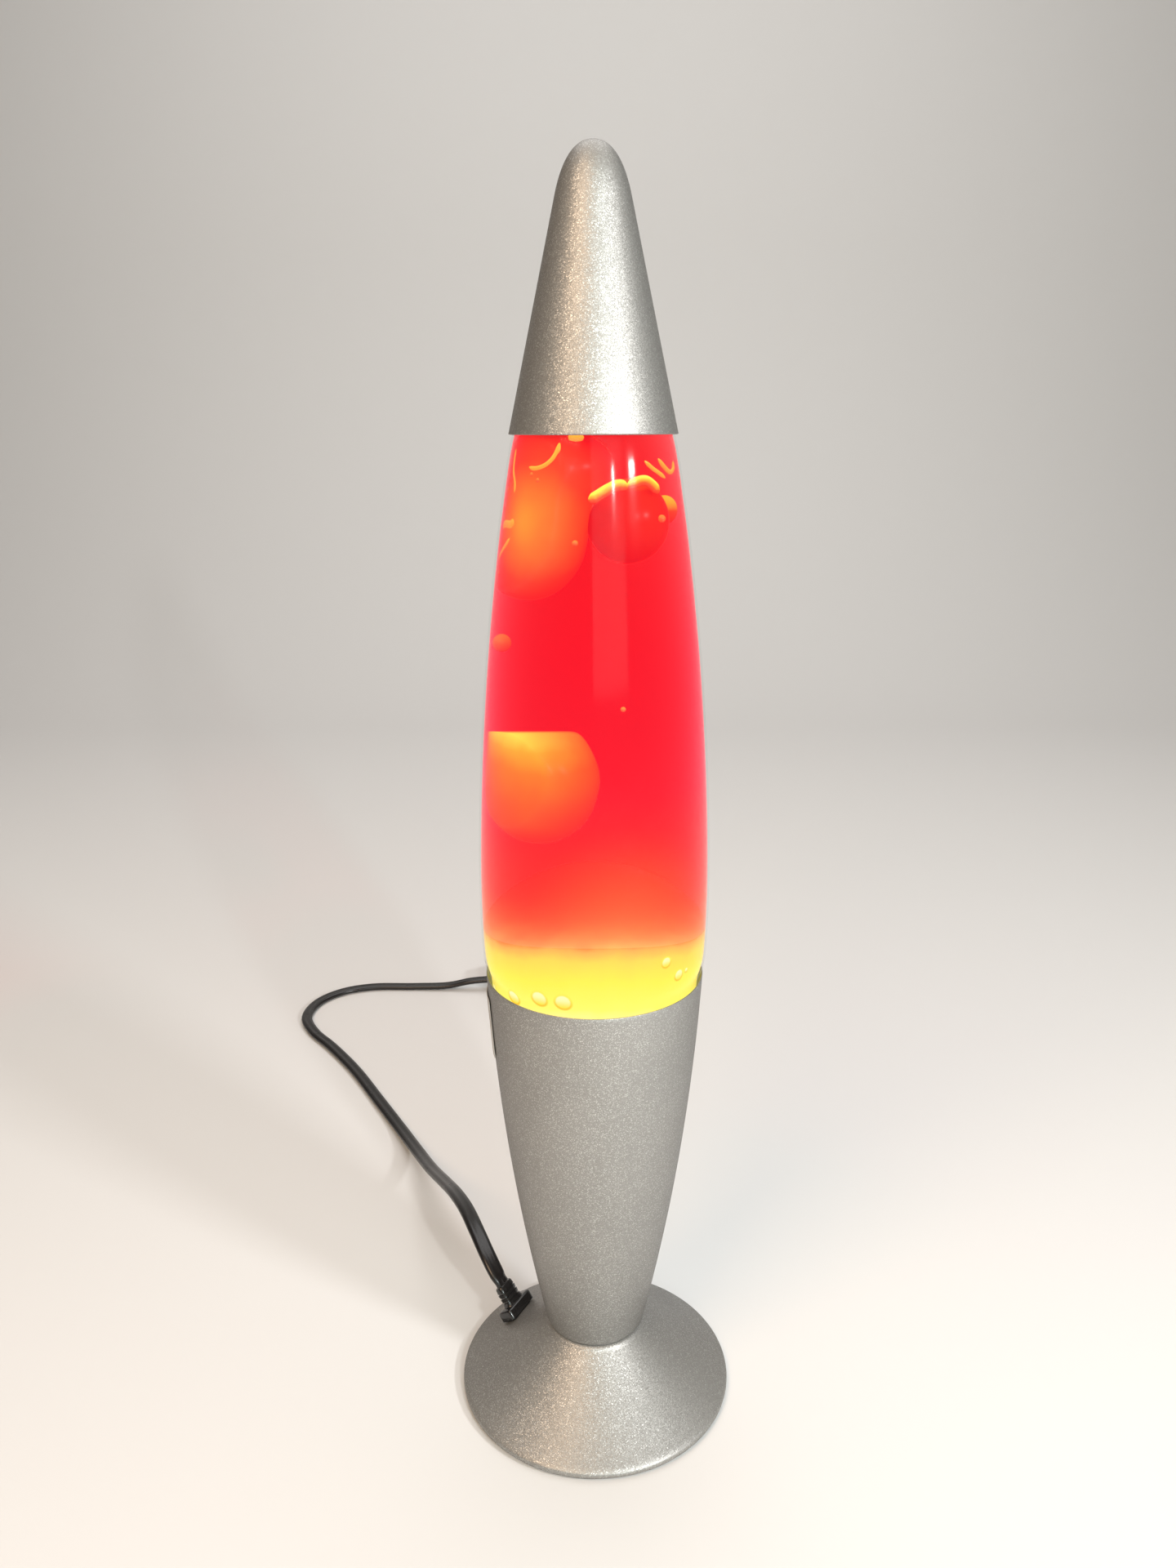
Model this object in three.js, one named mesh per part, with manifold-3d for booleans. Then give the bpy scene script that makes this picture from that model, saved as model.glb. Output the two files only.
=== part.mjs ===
// A lava lamp: a glass bottle of liquid and wax that stands in a tapered metal cup over a small
// reflector bulb. The cup stands on a flared foot, a pointed metal cap covers the bottle's crown,
// and a flat twin lead leaves the back of the foot for an in-line switch and a two-pin plug.
// Millimetres, +Z up, origin on the lamp's axis at the surface that it stands on.
import * as THREE from 'three';
import { ConvexGeometry } from 'three/addons/geometries/ConvexGeometry.js';
import { mergeVertices } from 'three/addons/utils/BufferGeometryUtils.js';
import Module from 'manifold-3d';

const wasm = await Module();
wasm.setup();

// ---------------------------------------------------------------- driving dimensions
const GAP = 0.3; // between two pieces that touch
const FIT = 0.3; // between a piece and the hole or cup that it drops into

const FOOT_RADIUS = 50;
const FOOT_HEIGHT = 27.6;
const FOOT_NECK_RADIUS = 17.6;
const FOOT_SHEET = 1;
const FOOT_BEAD_RADIUS = 1.6;
const RUBBER_FOOT_RADIUS = 4;
const RUBBER_FOOT_INSET = 4; // from the bottom plate's edge
const RUBBER_FOOT_DROP = 0.8; // how far the rubber feet hold the foot's bead off the table
const PLATE_THICKNESS = 1.4;

const CUP_HEIGHT = 142;
const CUP_BASE_RADIUS = 18.2;
const CUP_RIM_RADIUS = 36.7;
const CUP_BULGE = 0.81; // how much of the widening is done at the middle of the side's control line
const CUP_SHEET = 0.9;

const BOTTLE_SUNK = 46; // the length of bottle inside the cup
const BOTTLE_SHOWN = 174.4; // from the cup's rim to the cap's rim
const BELLY_RADIUS = 38.1;
const GLASS = 2.6;
const NECK_RADIUS = 13;
const MOUTH_RADIUS = 9.6;
const NECK_TOP = 28.5; // the bottle's mouth above the cap's rim

const CAP_HEIGHT = 78.7;
const CAP_RIM_RADIUS = 25.3;
const CAP_NOSE_RADIUS = 11;
const CAP_NOSE_HEIGHT = 14.6;
const CAP_SHEET = 0.8;

const CROWN_SKIRT_RADIUS = 15.6;
const CROWN_SHEET = 0.4;
const LINER_THICKNESS = 1;

const NIPPLE_RADIUS = 5; // the threaded lamp pipe that clamps foot, cup and holder
const NIPPLE_BORE = 3.5;
const NUT_FLATS = 14;
const NUT_HEIGHT = 3.4;
const WASHER_RADIUS = 9;
const WASHER_THICKNESS = 0.6;

const HOLDER_RADIUS = 12.6;
const HOLDER_BORE = 10;
const HOLDER_HEIGHT = 31.5;
const HOLDER_FLOOR = 3;
const CORE_RADIUS = 7.4;
const CONTACT_RADIUS = 2.3;
const CORE_HEIGHT = 3.8;
const CORE_LIFT = 3; // room under the holder's core for the leads
const THREAD_RADIUS = 8.35; // the bulb's screw shell, over its crests
const THREAD_PITCH = 2.82;
const THREAD_TURNS = 5;
const THREAD_DEPTH = 0.7;
const BULB_RADIUS = 19.5;
const BULB_GLASS = 0.8;
const BULB_NECK_RADIUS = 6.6;
const BULB_LENGTH = 61; // from the tip of the centre contact to the top of the glass

const POOL_DEPTH = 66; // the molten wax that stands in the bottle, at the middle
const LIQUID_TOP = 5.5; // above the cap's rim
const COIL_RING_RADIUS = 20; // the ring of coiled wire on the bottle's floor
const COIL_RING_TUBE = 2.4;

const GLAND_AZIMUTH = THREE.MathUtils.degToRad(151);
const GLAND_RADIUS = 34.2; // how far out on the foot's slope the strain relief sits
const GLAND_BODY = 5.6; // the radius of its body in the hole
const GLAND_TAIL = 8.2; // its length inside the foot
const GLAND_SLEEVE = 12; // the end of its tapered sleeve, off the slope
const GLAND_HEAD = { wide: 15, tall: 7.6, proud: 4.5 };

const LEAD_WIDTH = 6.4; // the flat twin lead
const LEAD_THICKNESS = 3.2;
const TABLE_CLEAR = 0.2; // the lead's underside above the table
const LEAD_Z = TABLE_CLEAR + LEAD_THICKNESS / 2;
const LEAD_PITCH = 6.7; // from turn to turn in the coil
const LAYER_PITCH = 3.4;
const COIL_CENTRE = { x: 2, y: 250 };
const COIL_OUTER = 44.8; // the lead's centreline in the outermost turn
const COIL_TURNS = 5; // in two layers
const TIE_WIDTH = 8;
const TIE_THICKNESS = 0.8;

const SWITCH_CENTRE = { x: -36, y: 318 };
const SWITCH = { long: 58, wide: 22, tall: 14.5, wall: 1.8 };
const ROCKER = { long: 17, wide: 9, deep: 5.5, tilt: THREE.MathUtils.degToRad(8) };
const PLUG_CENTRE_X = 8.7;
const PLUG_BACK_Y = 146;
const PLUG = { long: 30, wide: 26, tall: 16, tail: 11 };
const BLADE = { long: 17, thick: 1.5, wide: 7.9, narrow: 6.3, apart: 12.7 };

// ---------------------------------------------------------------- heights that follow from them
const footTop = FOOT_HEIGHT;
const cupBottom = footTop + GAP;
const cupRim = cupBottom + CUP_HEIGHT;
const bottleBottom = cupRim - BOTTLE_SUNK;
const capRim = cupRim + BOTTLE_SHOWN;
const capTip = capRim + CAP_HEIGHT;
const mouthTop = capRim + NECK_TOP;
const cupFloor = cupBottom + CUP_SHEET;
const holderBottom = cupFloor + GAP + WASHER_THICKNESS + GAP + NUT_HEIGHT + GAP;

// ---------------------------------------------------------------- finishes
const finish = (color, roughness, metalness) =>
  new THREE.MeshStandardMaterial({ color, roughness, metalness });
const silverPaint = () => finish('#8d8b86', 0.42, 0.75);
const seeThrough = (color, roughness, opacity) =>
  new THREE.MeshStandardMaterial({ color, roughness, metalness: 0, transparent: true, opacity });
const clearGlass = () => seeThrough('#ffe9e6', 0.05, 0.25);
const blackPlastic = () => finish('#141314', 0.3, 0);
const blackRubber = () => finish('#1b1a1a', 0.8, 0);
const brass = () => finish('#c9a24a', 0.3, 1);
const steel = () => finish('#9a9b9c', 0.35, 1);
const wax = (color) => new THREE.MeshStandardMaterial(
  { color, roughness: 0.4, metalness: 0, emissive: color, emissiveIntensity: 0.6 });

// ---------------------------------------------------------------- small geometry helpers
const at = (r, z) => new THREE.Vector2(r, z);
const point = (x, y, z) => new THREE.Vector3(x, y, z);

// A profile in (radius, height), turned round the Z axis. It runs up the outside and down the inside.
function turned(profile, segments = 40) {
  return new THREE.LatheGeometry(profile, segments).rotateX(Math.PI / 2);
}

// The points of an open profile, each moved to the left of the way that it runs.
function movedLeft(points, distance) {
  return points.map((p, i) => {
    const before = points[Math.max(i - 1, 0)];
    const after = points[Math.min(i + 1, points.length - 1)];
    const along = after.clone().sub(before).normalize();
    return at(p.x - along.y * distance, p.y + along.x * distance);
  });
}

// A turned ring or disc with a rectangular section.
function ring(inner, outer, low, high, segments = 24) {
  const outside = [at(outer, low), at(outer, high)];
  if (inner === 0) return turned([at(0, low), ...outside, at(0, high)], segments);
  return turned([...outside, at(inner, high), at(inner, low), at(outer, low)], segments);
}

// Part of a circle about a centre, from one angle to another in degrees, in (radius, height).
function arc(centre, radius, from, to, steps) {
  return Array.from({ length: steps + 1 }, (_, i) => {
    const angle = THREE.MathUtils.degToRad(from + ((to - from) * i) / steps);
    return at(centre.x + radius * Math.cos(angle), centre.y + radius * Math.sin(angle));
  });
}

// The heights where a curve in (radius, height) is cut, as a function that gives its radius.
function radiusOf(curvePoints) {
  return (z) => {
    const i = Math.max(1, curvePoints.findIndex((p) => p.y >= z));
    const [a, b] = [curvePoints[i - 1], curvePoints[i]];
    return a.x + ((b.x - a.x) * (z - a.y)) / (b.y - a.y);
  };
}

function toManifold(geometry) {
  const bare = geometry.clone();
  bare.deleteAttribute('normal');
  bare.deleteAttribute('uv');
  const merged = mergeVertices(bare, 1e-4);
  return new wasm.Manifold(new wasm.Mesh({
    numProp: 3,
    vertProperties: new Float32Array(merged.attributes.position.array),
    triVerts: new Uint32Array(merged.index.array),
  }));
}

function fromManifold(manifold) {
  const mesh = manifold.getMesh();
  const geometry = new THREE.BufferGeometry();
  geometry.setAttribute('position', new THREE.BufferAttribute(new Float32Array(mesh.vertProperties), 3));
  geometry.setIndex(new THREE.BufferAttribute(new Uint32Array(mesh.triVerts), 1));
  geometry.computeVertexNormals();
  return geometry;
}

const cut = (base, ...tools) =>
  fromManifold(tools.reduce((left, tool) => left.subtract(toManifold(tool)), toManifold(base)));
const joined = (...pieces) =>
  fromManifold(pieces.map(toManifold).reduce((whole, next) => whole.add(next)));

// An upright prism over an outline in X and Y.
function prism(outline, low, high, holes = []) {
  const shape = new THREE.Shape(outline);
  shape.holes = holes.map((hole) => new THREE.Path(hole));
  return new THREE.ExtrudeGeometry(shape, { depth: high - low, bevelEnabled: false, steps: 1 })
    .translate(0, 0, low);
}

const circle = (radius, sides) => Array.from({ length: sides }, (_, i) => {
  const angle = (2 * Math.PI * i) / sides;
  return new THREE.Vector2(radius * Math.cos(angle), radius * Math.sin(angle));
});

// A rectangle with round corners, centred on the origin.
function roundedOutline(long, wide, corner, steps = 3) {
  const points = [];
  for (const [sx, sy, from] of [[1, 1, 0], [-1, 1, 90], [-1, -1, 180], [1, -1, 270]]) {
    const centre = at(sx * (long / 2 - corner), sy * (wide / 2 - corner));
    points.push(...arc(centre, corner, from, from + 90, steps));
  }
  return points;
}

const lamp = new THREE.Group();
lamp.name = 'lava_lamp';

function add(name, geometry, material, parent = lamp) {
  const mesh = new THREE.Mesh(geometry, material);
  mesh.name = name;
  parent.add(mesh);
  return mesh;
}

// ---------------------------------------------------------------- the foot and what is under it
const beadCentre = at(FOOT_RADIUS - FOOT_BEAD_RADIUS, RUBBER_FOOT_DROP + FOOT_BEAD_RADIUS);
const slopeFoot = at(beadCentre.x + FOOT_BEAD_RADIUS * 0.6, beadCentre.y + FOOT_BEAD_RADIUS * 0.8);
const slopeTop = at(FOOT_NECK_RADIUS + 1, footTop - 1.2);
const slope = new THREE.QuadraticBezierCurve(
  slopeFoot,
  at((slopeFoot.x + slopeTop.x) / 2 - 1.2, (slopeFoot.y + slopeTop.y) / 2 - 1.2),
  slopeTop,
).getPoints(5);

const footSide = [
  ...arc(beadCentre, FOOT_BEAD_RADIUS, -90, 30, 4),
  ...slope,
  at(FOOT_NECK_RADIUS, footTop),
];
const footProfile = [
  ...footSide,
  at(NIPPLE_RADIUS + FIT, footTop),
  at(NIPPLE_RADIUS + FIT, footTop - FOOT_SHEET),
  at(FOOT_NECK_RADIUS - FOOT_SHEET, footTop - FOOT_SHEET),
  ...movedLeft(slope, FOOT_SHEET).reverse(),
  at(beadCentre.x - FOOT_BEAD_RADIUS * 0.8, beadCentre.y),
  footSide[0].clone(),
];

// The strain relief's own frame: its local +Z stands square off the slope and its local X runs round it.
const glandHeight = radiusOf([...slope].reverse().map((p) => at(p.y, p.x)))(GLAND_RADIUS);
const slopeRun = slopeFoot.clone().sub(slopeTop).normalize();
const outward = point(Math.cos(GLAND_AZIMUTH), Math.sin(GLAND_AZIMUTH), 0);
const glandAxis = outward.clone().multiplyScalar(-slopeRun.y).add(point(0, 0, slopeRun.x)).normalize();
const glandAcross = point(0, 0, 1).cross(glandAxis).normalize();
const glandSeat = outward.clone().multiplyScalar(GLAND_RADIUS).setZ(glandHeight);
const glandFrame = new THREE.Matrix4()
  .makeBasis(glandAcross, glandAxis.clone().cross(glandAcross), glandAxis)
  .setPosition(glandSeat);
const onGland = (geometry) => geometry.applyMatrix4(glandFrame);

const glandHoleRadius = GLAND_BODY + FIT;
const glandHole = onGland(new THREE.CylinderGeometry(glandHoleRadius, glandHoleRadius, 12, 24)
  .rotateX(Math.PI / 2));
add('base_foot', cut(turned(footProfile, 40), glandHole), silverPaint());

const plateRadius = beadCentre.x - FOOT_BEAD_RADIUS * 0.8 - FIT;
const plateLow = beadCentre.y - PLATE_THICKNESS / 2;
add('bottom_plate', ring(0, plateRadius, plateLow, plateLow + PLATE_THICKNESS, 40), blackPlastic());

const feetRing = plateRadius - RUBBER_FOOT_RADIUS - RUBBER_FOOT_INSET;
for (const [i, name] of ['front', 'right', 'back', 'left'].entries()) {
  const angle = (i - 1) * (Math.PI / 2);
  const pad = ring(0, RUBBER_FOOT_RADIUS, 0, plateLow - GAP, 20)
    .translate(feetRing * Math.cos(angle), feetRing * Math.sin(angle), 0);
  add(`rubber_foot_${name}`, pad, blackRubber());
}

// ---------------------------------------------------------------- the strain relief
const headLow = FOOT_SHEET * 0.5 + GAP;
const leadSlot = prism(roundedOutline(LEAD_WIDTH + 2 * GAP, LEAD_THICKNESS + 2 * GAP, 1.4, 2),
  -GLAND_TAIL - 4, GLAND_SLEEVE + 4);
const reliefHead = prism(roundedOutline(GLAND_HEAD.wide, GLAND_HEAD.tall, 2.2), headLow, GLAND_HEAD.proud);
const reliefBody = turned([
  at(0, -GLAND_TAIL),
  at(GLAND_BODY - 1.5, -GLAND_TAIL),
  at(GLAND_BODY, -FOOT_SHEET - 1.5),
  at(GLAND_BODY, headLow + 1),
  at(0, headLow + 1),
], 20);

// A body lofted through rings of equal point counts, closed flat at both ends.
function lofted(sections) {
  const count = sections[0].length;
  const faces = [];
  for (let s = 0; s < sections.length - 1; s += 1) {
    for (let i = 0; i < count; i += 1) {
      const [a, b] = [s * count + i, s * count + ((i + 1) % count)];
      faces.push(a, b, b + count, a, b + count, a + count);
    }
  }
  const last = (sections.length - 1) * count;
  for (let i = 1; i < count - 1; i += 1) {
    faces.push(0, i + 1, i, last, last + i, last + i + 1);
  }
  const geometry = new THREE.BufferGeometry();
  const numbers = sections.flat().flatMap((p) => [p.x, p.y, p.z]);
  geometry.setAttribute('position', new THREE.Float32BufferAttribute(numbers, 3));
  geometry.setIndex(faces);
  geometry.computeVertexNormals();
  return geometry;
}
const levelRing = (outline, z) => outline.map((p) => point(p.x, p.y, z));
const sleeveRing = (spare, z) =>
  levelRing(roundedOutline(LEAD_WIDTH + spare, LEAD_THICKNESS + spare, 1.6, 2), z);
const reliefSleeve = lofted([
  sleeveRing(4, headLow + 0.6),
  sleeveRing(3.6, GLAND_HEAD.proud + 1),
  sleeveRing(1.7, GLAND_HEAD.proud + 3),
  sleeveRing(1.2, GLAND_SLEEVE),
]);
add('strain_relief', onGland(cut(joined(reliefHead, reliefBody, reliefSleeve), leadSlot)), blackPlastic());

// ---------------------------------------------------------------- the cup
const cupSide = new THREE.QuadraticBezierCurve(
  at(CUP_BASE_RADIUS, cupBottom + 1.6),
  at(CUP_BASE_RADIUS + CUP_BULGE * (CUP_RIM_RADIUS - CUP_BASE_RADIUS), cupBottom + CUP_HEIGHT / 2),
  at(CUP_RIM_RADIUS, cupRim),
).getPoints(8);
const cupRadius = radiusOf(cupSide);
const cupProfile = [
  at(NIPPLE_RADIUS + FIT, cupBottom),
  at(CUP_BASE_RADIUS - 1.7, cupBottom),
  at(CUP_BASE_RADIUS - 0.6, cupBottom + 0.4),
  ...cupSide,
  ...movedLeft(cupSide, CUP_SHEET).reverse(),
  at(CUP_BASE_RADIUS - 1.7, cupFloor),
  at(NIPPLE_RADIUS + FIT, cupFloor),
  at(NIPPLE_RADIUS + FIT, cupBottom),
];
const CUP_SIDES = 40;
const cupWall = (z) => cupRadius(z) - CUP_SHEET - FIT;
add('base_cup', turned(cupProfile, CUP_SIDES), silverPaint());

// A plain paper label on the cup's left side, curved with it.
const LABEL = { low: 113, high: 135, from: 164, to: 196, thick: 0.25 };
const labelSteps = 6;
const labelAngles = Array.from({ length: labelSteps + 1 }, (_, i) =>
  THREE.MathUtils.degToRad(LABEL.from + ((LABEL.to - LABEL.from) * i) / labelSteps));
const labelLayer = (z, lift) => labelAngles.map((angle) => {
  const r = cupRadius(z) / Math.cos(Math.PI / CUP_SIDES) + GAP + lift;
  return point(r * Math.cos(angle), r * Math.sin(angle), z);
});

// A thin curved plate between four rows of points: low outer, high outer, high inner, low inner.
function curvedPlate(rows) {
  const count = rows[0].length;
  const positions = rows.flat().flatMap((p) => [p.x, p.y, p.z]);
  const faces = [];
  const quad = (a, b, c, d) => faces.push(a, b, c, a, c, d);
  for (let side = 0; side < 4; side += 1) {
    const next = (side + 1) % 4;
    for (let i = 0; i < count - 1; i += 1) {
      quad(side * count + i, side * count + i + 1, next * count + i + 1, next * count + i);
    }
  }
  quad(0, count, 2 * count, 3 * count);
  quad(count - 1, 4 * count - 1, 3 * count - 1, 2 * count - 1);
  const geometry = new THREE.BufferGeometry();
  geometry.setAttribute('position', new THREE.Float32BufferAttribute(positions, 3));
  geometry.setIndex(faces);
  geometry.computeVertexNormals();
  return geometry;
}
const labelLow = cupBottom + LABEL.low;
const labelHigh = cupBottom + LABEL.high;
add('blank_label', curvedPlate([
  labelLayer(labelLow, LABEL.thick),
  labelLayer(labelHigh, LABEL.thick),
  labelLayer(labelHigh, 0),
  labelLayer(labelLow, 0),
]), finish('#e8e6e0', 0.6, 0));

// ---------------------------------------------------------------- the lamp pipe, its nuts and washers
const nutOutline = circle(NUT_FLATS / 2 / Math.cos(Math.PI / 6), 6);
const nutBore = circle(NIPPLE_RADIUS + GAP, 20);
const hexNut = (low) => prism(nutOutline, low, low + NUT_HEIGHT, [nutBore]);
const washer = (low) => ring(NIPPLE_RADIUS + GAP, WASHER_RADIUS, low, low + WASHER_THICKNESS, 20);
const lowerWasherTop = footTop - FOOT_SHEET - GAP;
const lowerNutTop = lowerWasherTop - WASHER_THICKNESS - GAP;
const upperWasherLow = cupFloor + GAP;
const upperNutLow = upperWasherLow + WASHER_THICKNESS + GAP;
const nippleLow = lowerNutTop - NUT_HEIGHT - 2;
const nippleHigh = holderBottom + HOLDER_FLOOR;
add('lamp_pipe', ring(NIPPLE_BORE, NIPPLE_RADIUS, nippleLow, nippleHigh, 20), steel());
add('lower_washer', washer(lowerWasherTop - WASHER_THICKNESS), steel());
add('lower_nut', hexNut(lowerNutTop - NUT_HEIGHT), steel());
add('upper_washer', washer(upperWasherLow), steel());
add('upper_nut', hexNut(upperNutLow), steel());

// ---------------------------------------------------------------- the lamp holder
const holderTop = holderBottom + HOLDER_HEIGHT;
add('holder_body', turned([
  at(HOLDER_RADIUS - 1, holderBottom),
  at(HOLDER_RADIUS, holderBottom + 1),
  at(HOLDER_RADIUS, holderTop - 1),
  at(HOLDER_RADIUS - 0.8, holderTop),
  at(HOLDER_BORE, holderTop),
  at(HOLDER_BORE, holderBottom + HOLDER_FLOOR),
  at(NIPPLE_RADIUS + GAP, holderBottom + HOLDER_FLOOR),
  at(NIPPLE_RADIUS + GAP, holderBottom),
  at(HOLDER_RADIUS - 1, holderBottom),
], 28), finish('#e9e2d2', 0.55, 0));

const coreLow = holderBottom + HOLDER_FLOOR + CORE_LIFT;
const coreTop = coreLow + CORE_HEIGHT;
add('holder_core', ring(CONTACT_RADIUS + GAP, CORE_RADIUS, coreLow, coreTop, 24), finish('#d8d2c4', 0.7, 0));
const screwShellOuter = HOLDER_BORE - GAP;
const screwShellLow = coreTop + GAP;
add('holder_thread_shell', turned([
  at(screwShellOuter, screwShellLow),
  at(screwShellOuter, holderTop - 1),
  at(THREAD_RADIUS + 0.6, holderTop - 1),
  at(THREAD_RADIUS + 0.6, screwShellLow + 0.6),
  at(CORE_RADIUS - 2, screwShellLow + 0.6),
  at(CORE_RADIUS - 2, screwShellLow),
  at(screwShellOuter, screwShellLow),
], 24), brass());
const contactTop = screwShellLow + 1.7;
add('holder_contact', turned([
  at(0, coreLow + 0.4),
  at(CONTACT_RADIUS, coreLow + 0.4),
  at(CONTACT_RADIUS, contactTop - 0.6),
  at(1.4, contactTop),
  at(0, contactTop),
], 16), brass());
for (const [name, side] of [['live', 1], ['neutral', -1]]) {
  const head = new THREE.CylinderGeometry(1.7, 1.7, 1.4, 14)
    .rotateZ(Math.PI / 2)
    .translate(side * (CORE_RADIUS + GAP + 0.7), 0, coreLow + CORE_HEIGHT / 2);
  add(`terminal_screw_${name}`, head, brass());
}

// ---------------------------------------------------------------- the bulb
const bulbTip = contactTop + GAP;
const bulbTop = bulbTip + BULB_LENGTH;
const shellLow = bulbTip + 2.6;
const shellHigh = shellLow + THREAD_PITCH * THREAD_TURNS + 2;
const threadCrests = [];
for (let turn = 0; turn < THREAD_TURNS; turn += 1) {
  const z = shellLow + 1 + turn * THREAD_PITCH;
  threadCrests.push(at(THREAD_RADIUS - THREAD_DEPTH, z), at(THREAD_RADIUS, z + THREAD_PITCH / 2));
}
const shellOuter = [
  ...threadCrests,
  at(THREAD_RADIUS - THREAD_DEPTH, shellHigh - 1),
  at(THREAD_RADIUS - 0.3, shellHigh + 2),
];
const shellInner = THREAD_RADIUS - THREAD_DEPTH - 0.5;
add('bulb_screw_shell', turned([
  at(shellInner, shellLow + 0.4),
  ...shellOuter,
  at(shellInner, shellHigh + 2),
  at(shellInner, shellLow + 0.4),
], 24), finish('#b9b6ad', 0.3, 1));
add('bulb_base_insulator', turned([
  at(2.4, bulbTip + 1.5),
  at(shellInner - 0.6, shellLow - 0.2),
  at(shellInner - GAP, shellLow + 0.8),
  at(shellInner - GAP, shellLow + 2.4),
  at(2.4, shellLow + 2.4),
  at(2.4, bulbTip + 1.5),
], 20), finish('#1a1512', 0.25, 0));
add('bulb_contact_tip', turned([
  at(0, bulbTip),
  at(1.5, bulbTip),
  at(2, bulbTip + 0.8),
  at(2, shellLow + 2),
  at(0, shellLow + 2),
], 16), finish('#c4c0b6', 0.35, 1));

const envelopeLow = shellLow + 2.4 + GAP;
const envelopeSide = new THREE.SplineCurve([
  at(BULB_NECK_RADIUS, envelopeLow),
  at(BULB_NECK_RADIUS, shellHigh - 2),
  at(BULB_NECK_RADIUS + 0.3, shellHigh + 3),
  at(BULB_RADIUS * 0.55, shellHigh + 11),
  at(BULB_RADIUS * 0.86, shellHigh + 20),
  at(BULB_RADIUS, bulbTop - 12),
  at(BULB_RADIUS * 0.96, bulbTop - 7),
  at(BULB_RADIUS * 0.72, bulbTop - 2.2),
  at(BULB_RADIUS * 0.35, bulbTop - 0.4),
]).getPoints(11);
add('bulb_envelope', turned([
  ...envelopeSide,
  at(0, bulbTop),
  at(0, bulbTop - BULB_GLASS),
  ...movedLeft(envelopeSide, BULB_GLASS).reverse(),
  at(BULB_NECK_RADIUS, envelopeLow),
], 24), clearGlass());

const stemTop = shellHigh + 8;
add('bulb_stem', turned([
  at(0, envelopeLow),
  at(3.6, envelopeLow),
  at(2.2, envelopeLow + 4),
  at(1.6, stemTop - 1),
  at(0, stemTop),
], 14), clearGlass());
const filamentHeight = stemTop + 9;
const filamentHalf = 6;
const filamentPath = new THREE.CatmullRomCurve3([
  point(-0.9, 0, stemTop + GAP),
  point(-2.6, 0, stemTop + 4),
  point(-filamentHalf, 0, filamentHeight),
  point(-filamentHalf / 2, 1.4, filamentHeight + 0.8),
  point(0, 0, filamentHeight + 1.2),
  point(filamentHalf / 2, 1.4, filamentHeight + 0.8),
  point(filamentHalf, 0, filamentHeight),
  point(2.6, 0, stemTop + 4),
  point(0.9, 0, stemTop + GAP),
]);
add('bulb_filament', new THREE.ExtrudeGeometry(new THREE.Shape(circle(0.3, 6)), {
  extrudePath: filamentPath, steps: 22, bevelEnabled: false }), finish('#ffcf8a', 0.5, 0.8));

// ---------------------------------------------------------------- the bottle
const seatRadius = cupWall(cupRim);
const shoulderRadius = CAP_RIM_RADIUS - CAP_SHEET - FIT;
const shown = (share) => cupRim + share * BOTTLE_SHOWN;
const bottleSide = new THREE.SplineCurve([
  at(cupWall(bottleBottom + 8) - 1.6, bottleBottom + 5),
  at(cupWall(bottleBottom + 16) - 0.6, bottleBottom + 16),
  at(cupWall(cupRim - 14) - 0.3, cupRim - 14),
  at(seatRadius - 0.5, cupRim - 4),
  at(seatRadius - 0.1, cupRim),
  at((seatRadius + BELLY_RADIUS) / 2 + 0.3, cupRim + 6),
  at(BELLY_RADIUS - 0.1, shown(0.11)),
  at(BELLY_RADIUS, shown(0.17)),
  at(BELLY_RADIUS - 0.25, shown(0.25)),
  at(BELLY_RADIUS - 1.0, shown(0.36)),
  at(BELLY_RADIUS - 2.3, shown(0.48)),
  at(BELLY_RADIUS - 4.2, shown(0.61)),
  at(BELLY_RADIUS - 6.7, shown(0.74)),
  at(BELLY_RADIUS - 9.8, shown(0.87)),
  at(shoulderRadius, capRim),
  at(shoulderRadius - 2.9, capRim + 7),
  at(NECK_RADIUS + 3.4, capRim + 15.5),
  at(NECK_RADIUS + 0.4, capRim + 20.5),
]).getPoints(19);
const bottleOuter = [
  at(bottleSide[0].x - 5, bottleBottom),
  at(bottleSide[0].x - 1.5, bottleBottom + 1.5),
  ...bottleSide,
  at(NECK_RADIUS, capRim + 22),
  at(NECK_RADIUS, mouthTop),
];
const glassInside = movedLeft(bottleSide, GLASS);
const innerFloor = bottleBottom + GLASS;
const innerSide = [
  at(bottleSide[0].x - 6.5, innerFloor),
  at(glassInside[0].x - 1.2, innerFloor + 1.2),
  ...glassInside.slice(0, -1),
  at(MOUTH_RADIUS, capRim + 21),
];
add('glass_bottle', turned([
  at(0, bottleBottom),
  ...bottleOuter,
  at(MOUTH_RADIUS, mouthTop),
  ...[...innerSide].reverse(),
  at(0, innerFloor),
], 36), clearGlass());
const bottleWall = radiusOf(innerSide);

const linerLow = mouthTop + GAP;
const crownInside = linerLow + LINER_THICKNESS + GAP;
add('crown_liner', ring(0, NECK_RADIUS - 0.4, linerLow, linerLow + LINER_THICKNESS, 24),
  finish('#d9d4c8', 0.7, 0));
const crownSide = [
  at(CROWN_SKIRT_RADIUS, crownInside - 5.6),
  at(NECK_RADIUS + GAP + CROWN_SHEET + 0.6, crownInside - 2.4),
  at(NECK_RADIUS + GAP + CROWN_SHEET, crownInside - 0.4),
];
add('crown_cap', turned([
  ...crownSide,
  at(NECK_RADIUS - 0.8, crownInside + CROWN_SHEET),
  at(0, crownInside + CROWN_SHEET),
  at(0, crownInside),
  at(NECK_RADIUS - 0.8, crownInside),
  ...crownSide.map((p) => at(p.x - CROWN_SHEET, p.y)).reverse(),
  crownSide[0].clone(),
], 36), finish('#c9c4b6', 0.3, 0.9));

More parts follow.
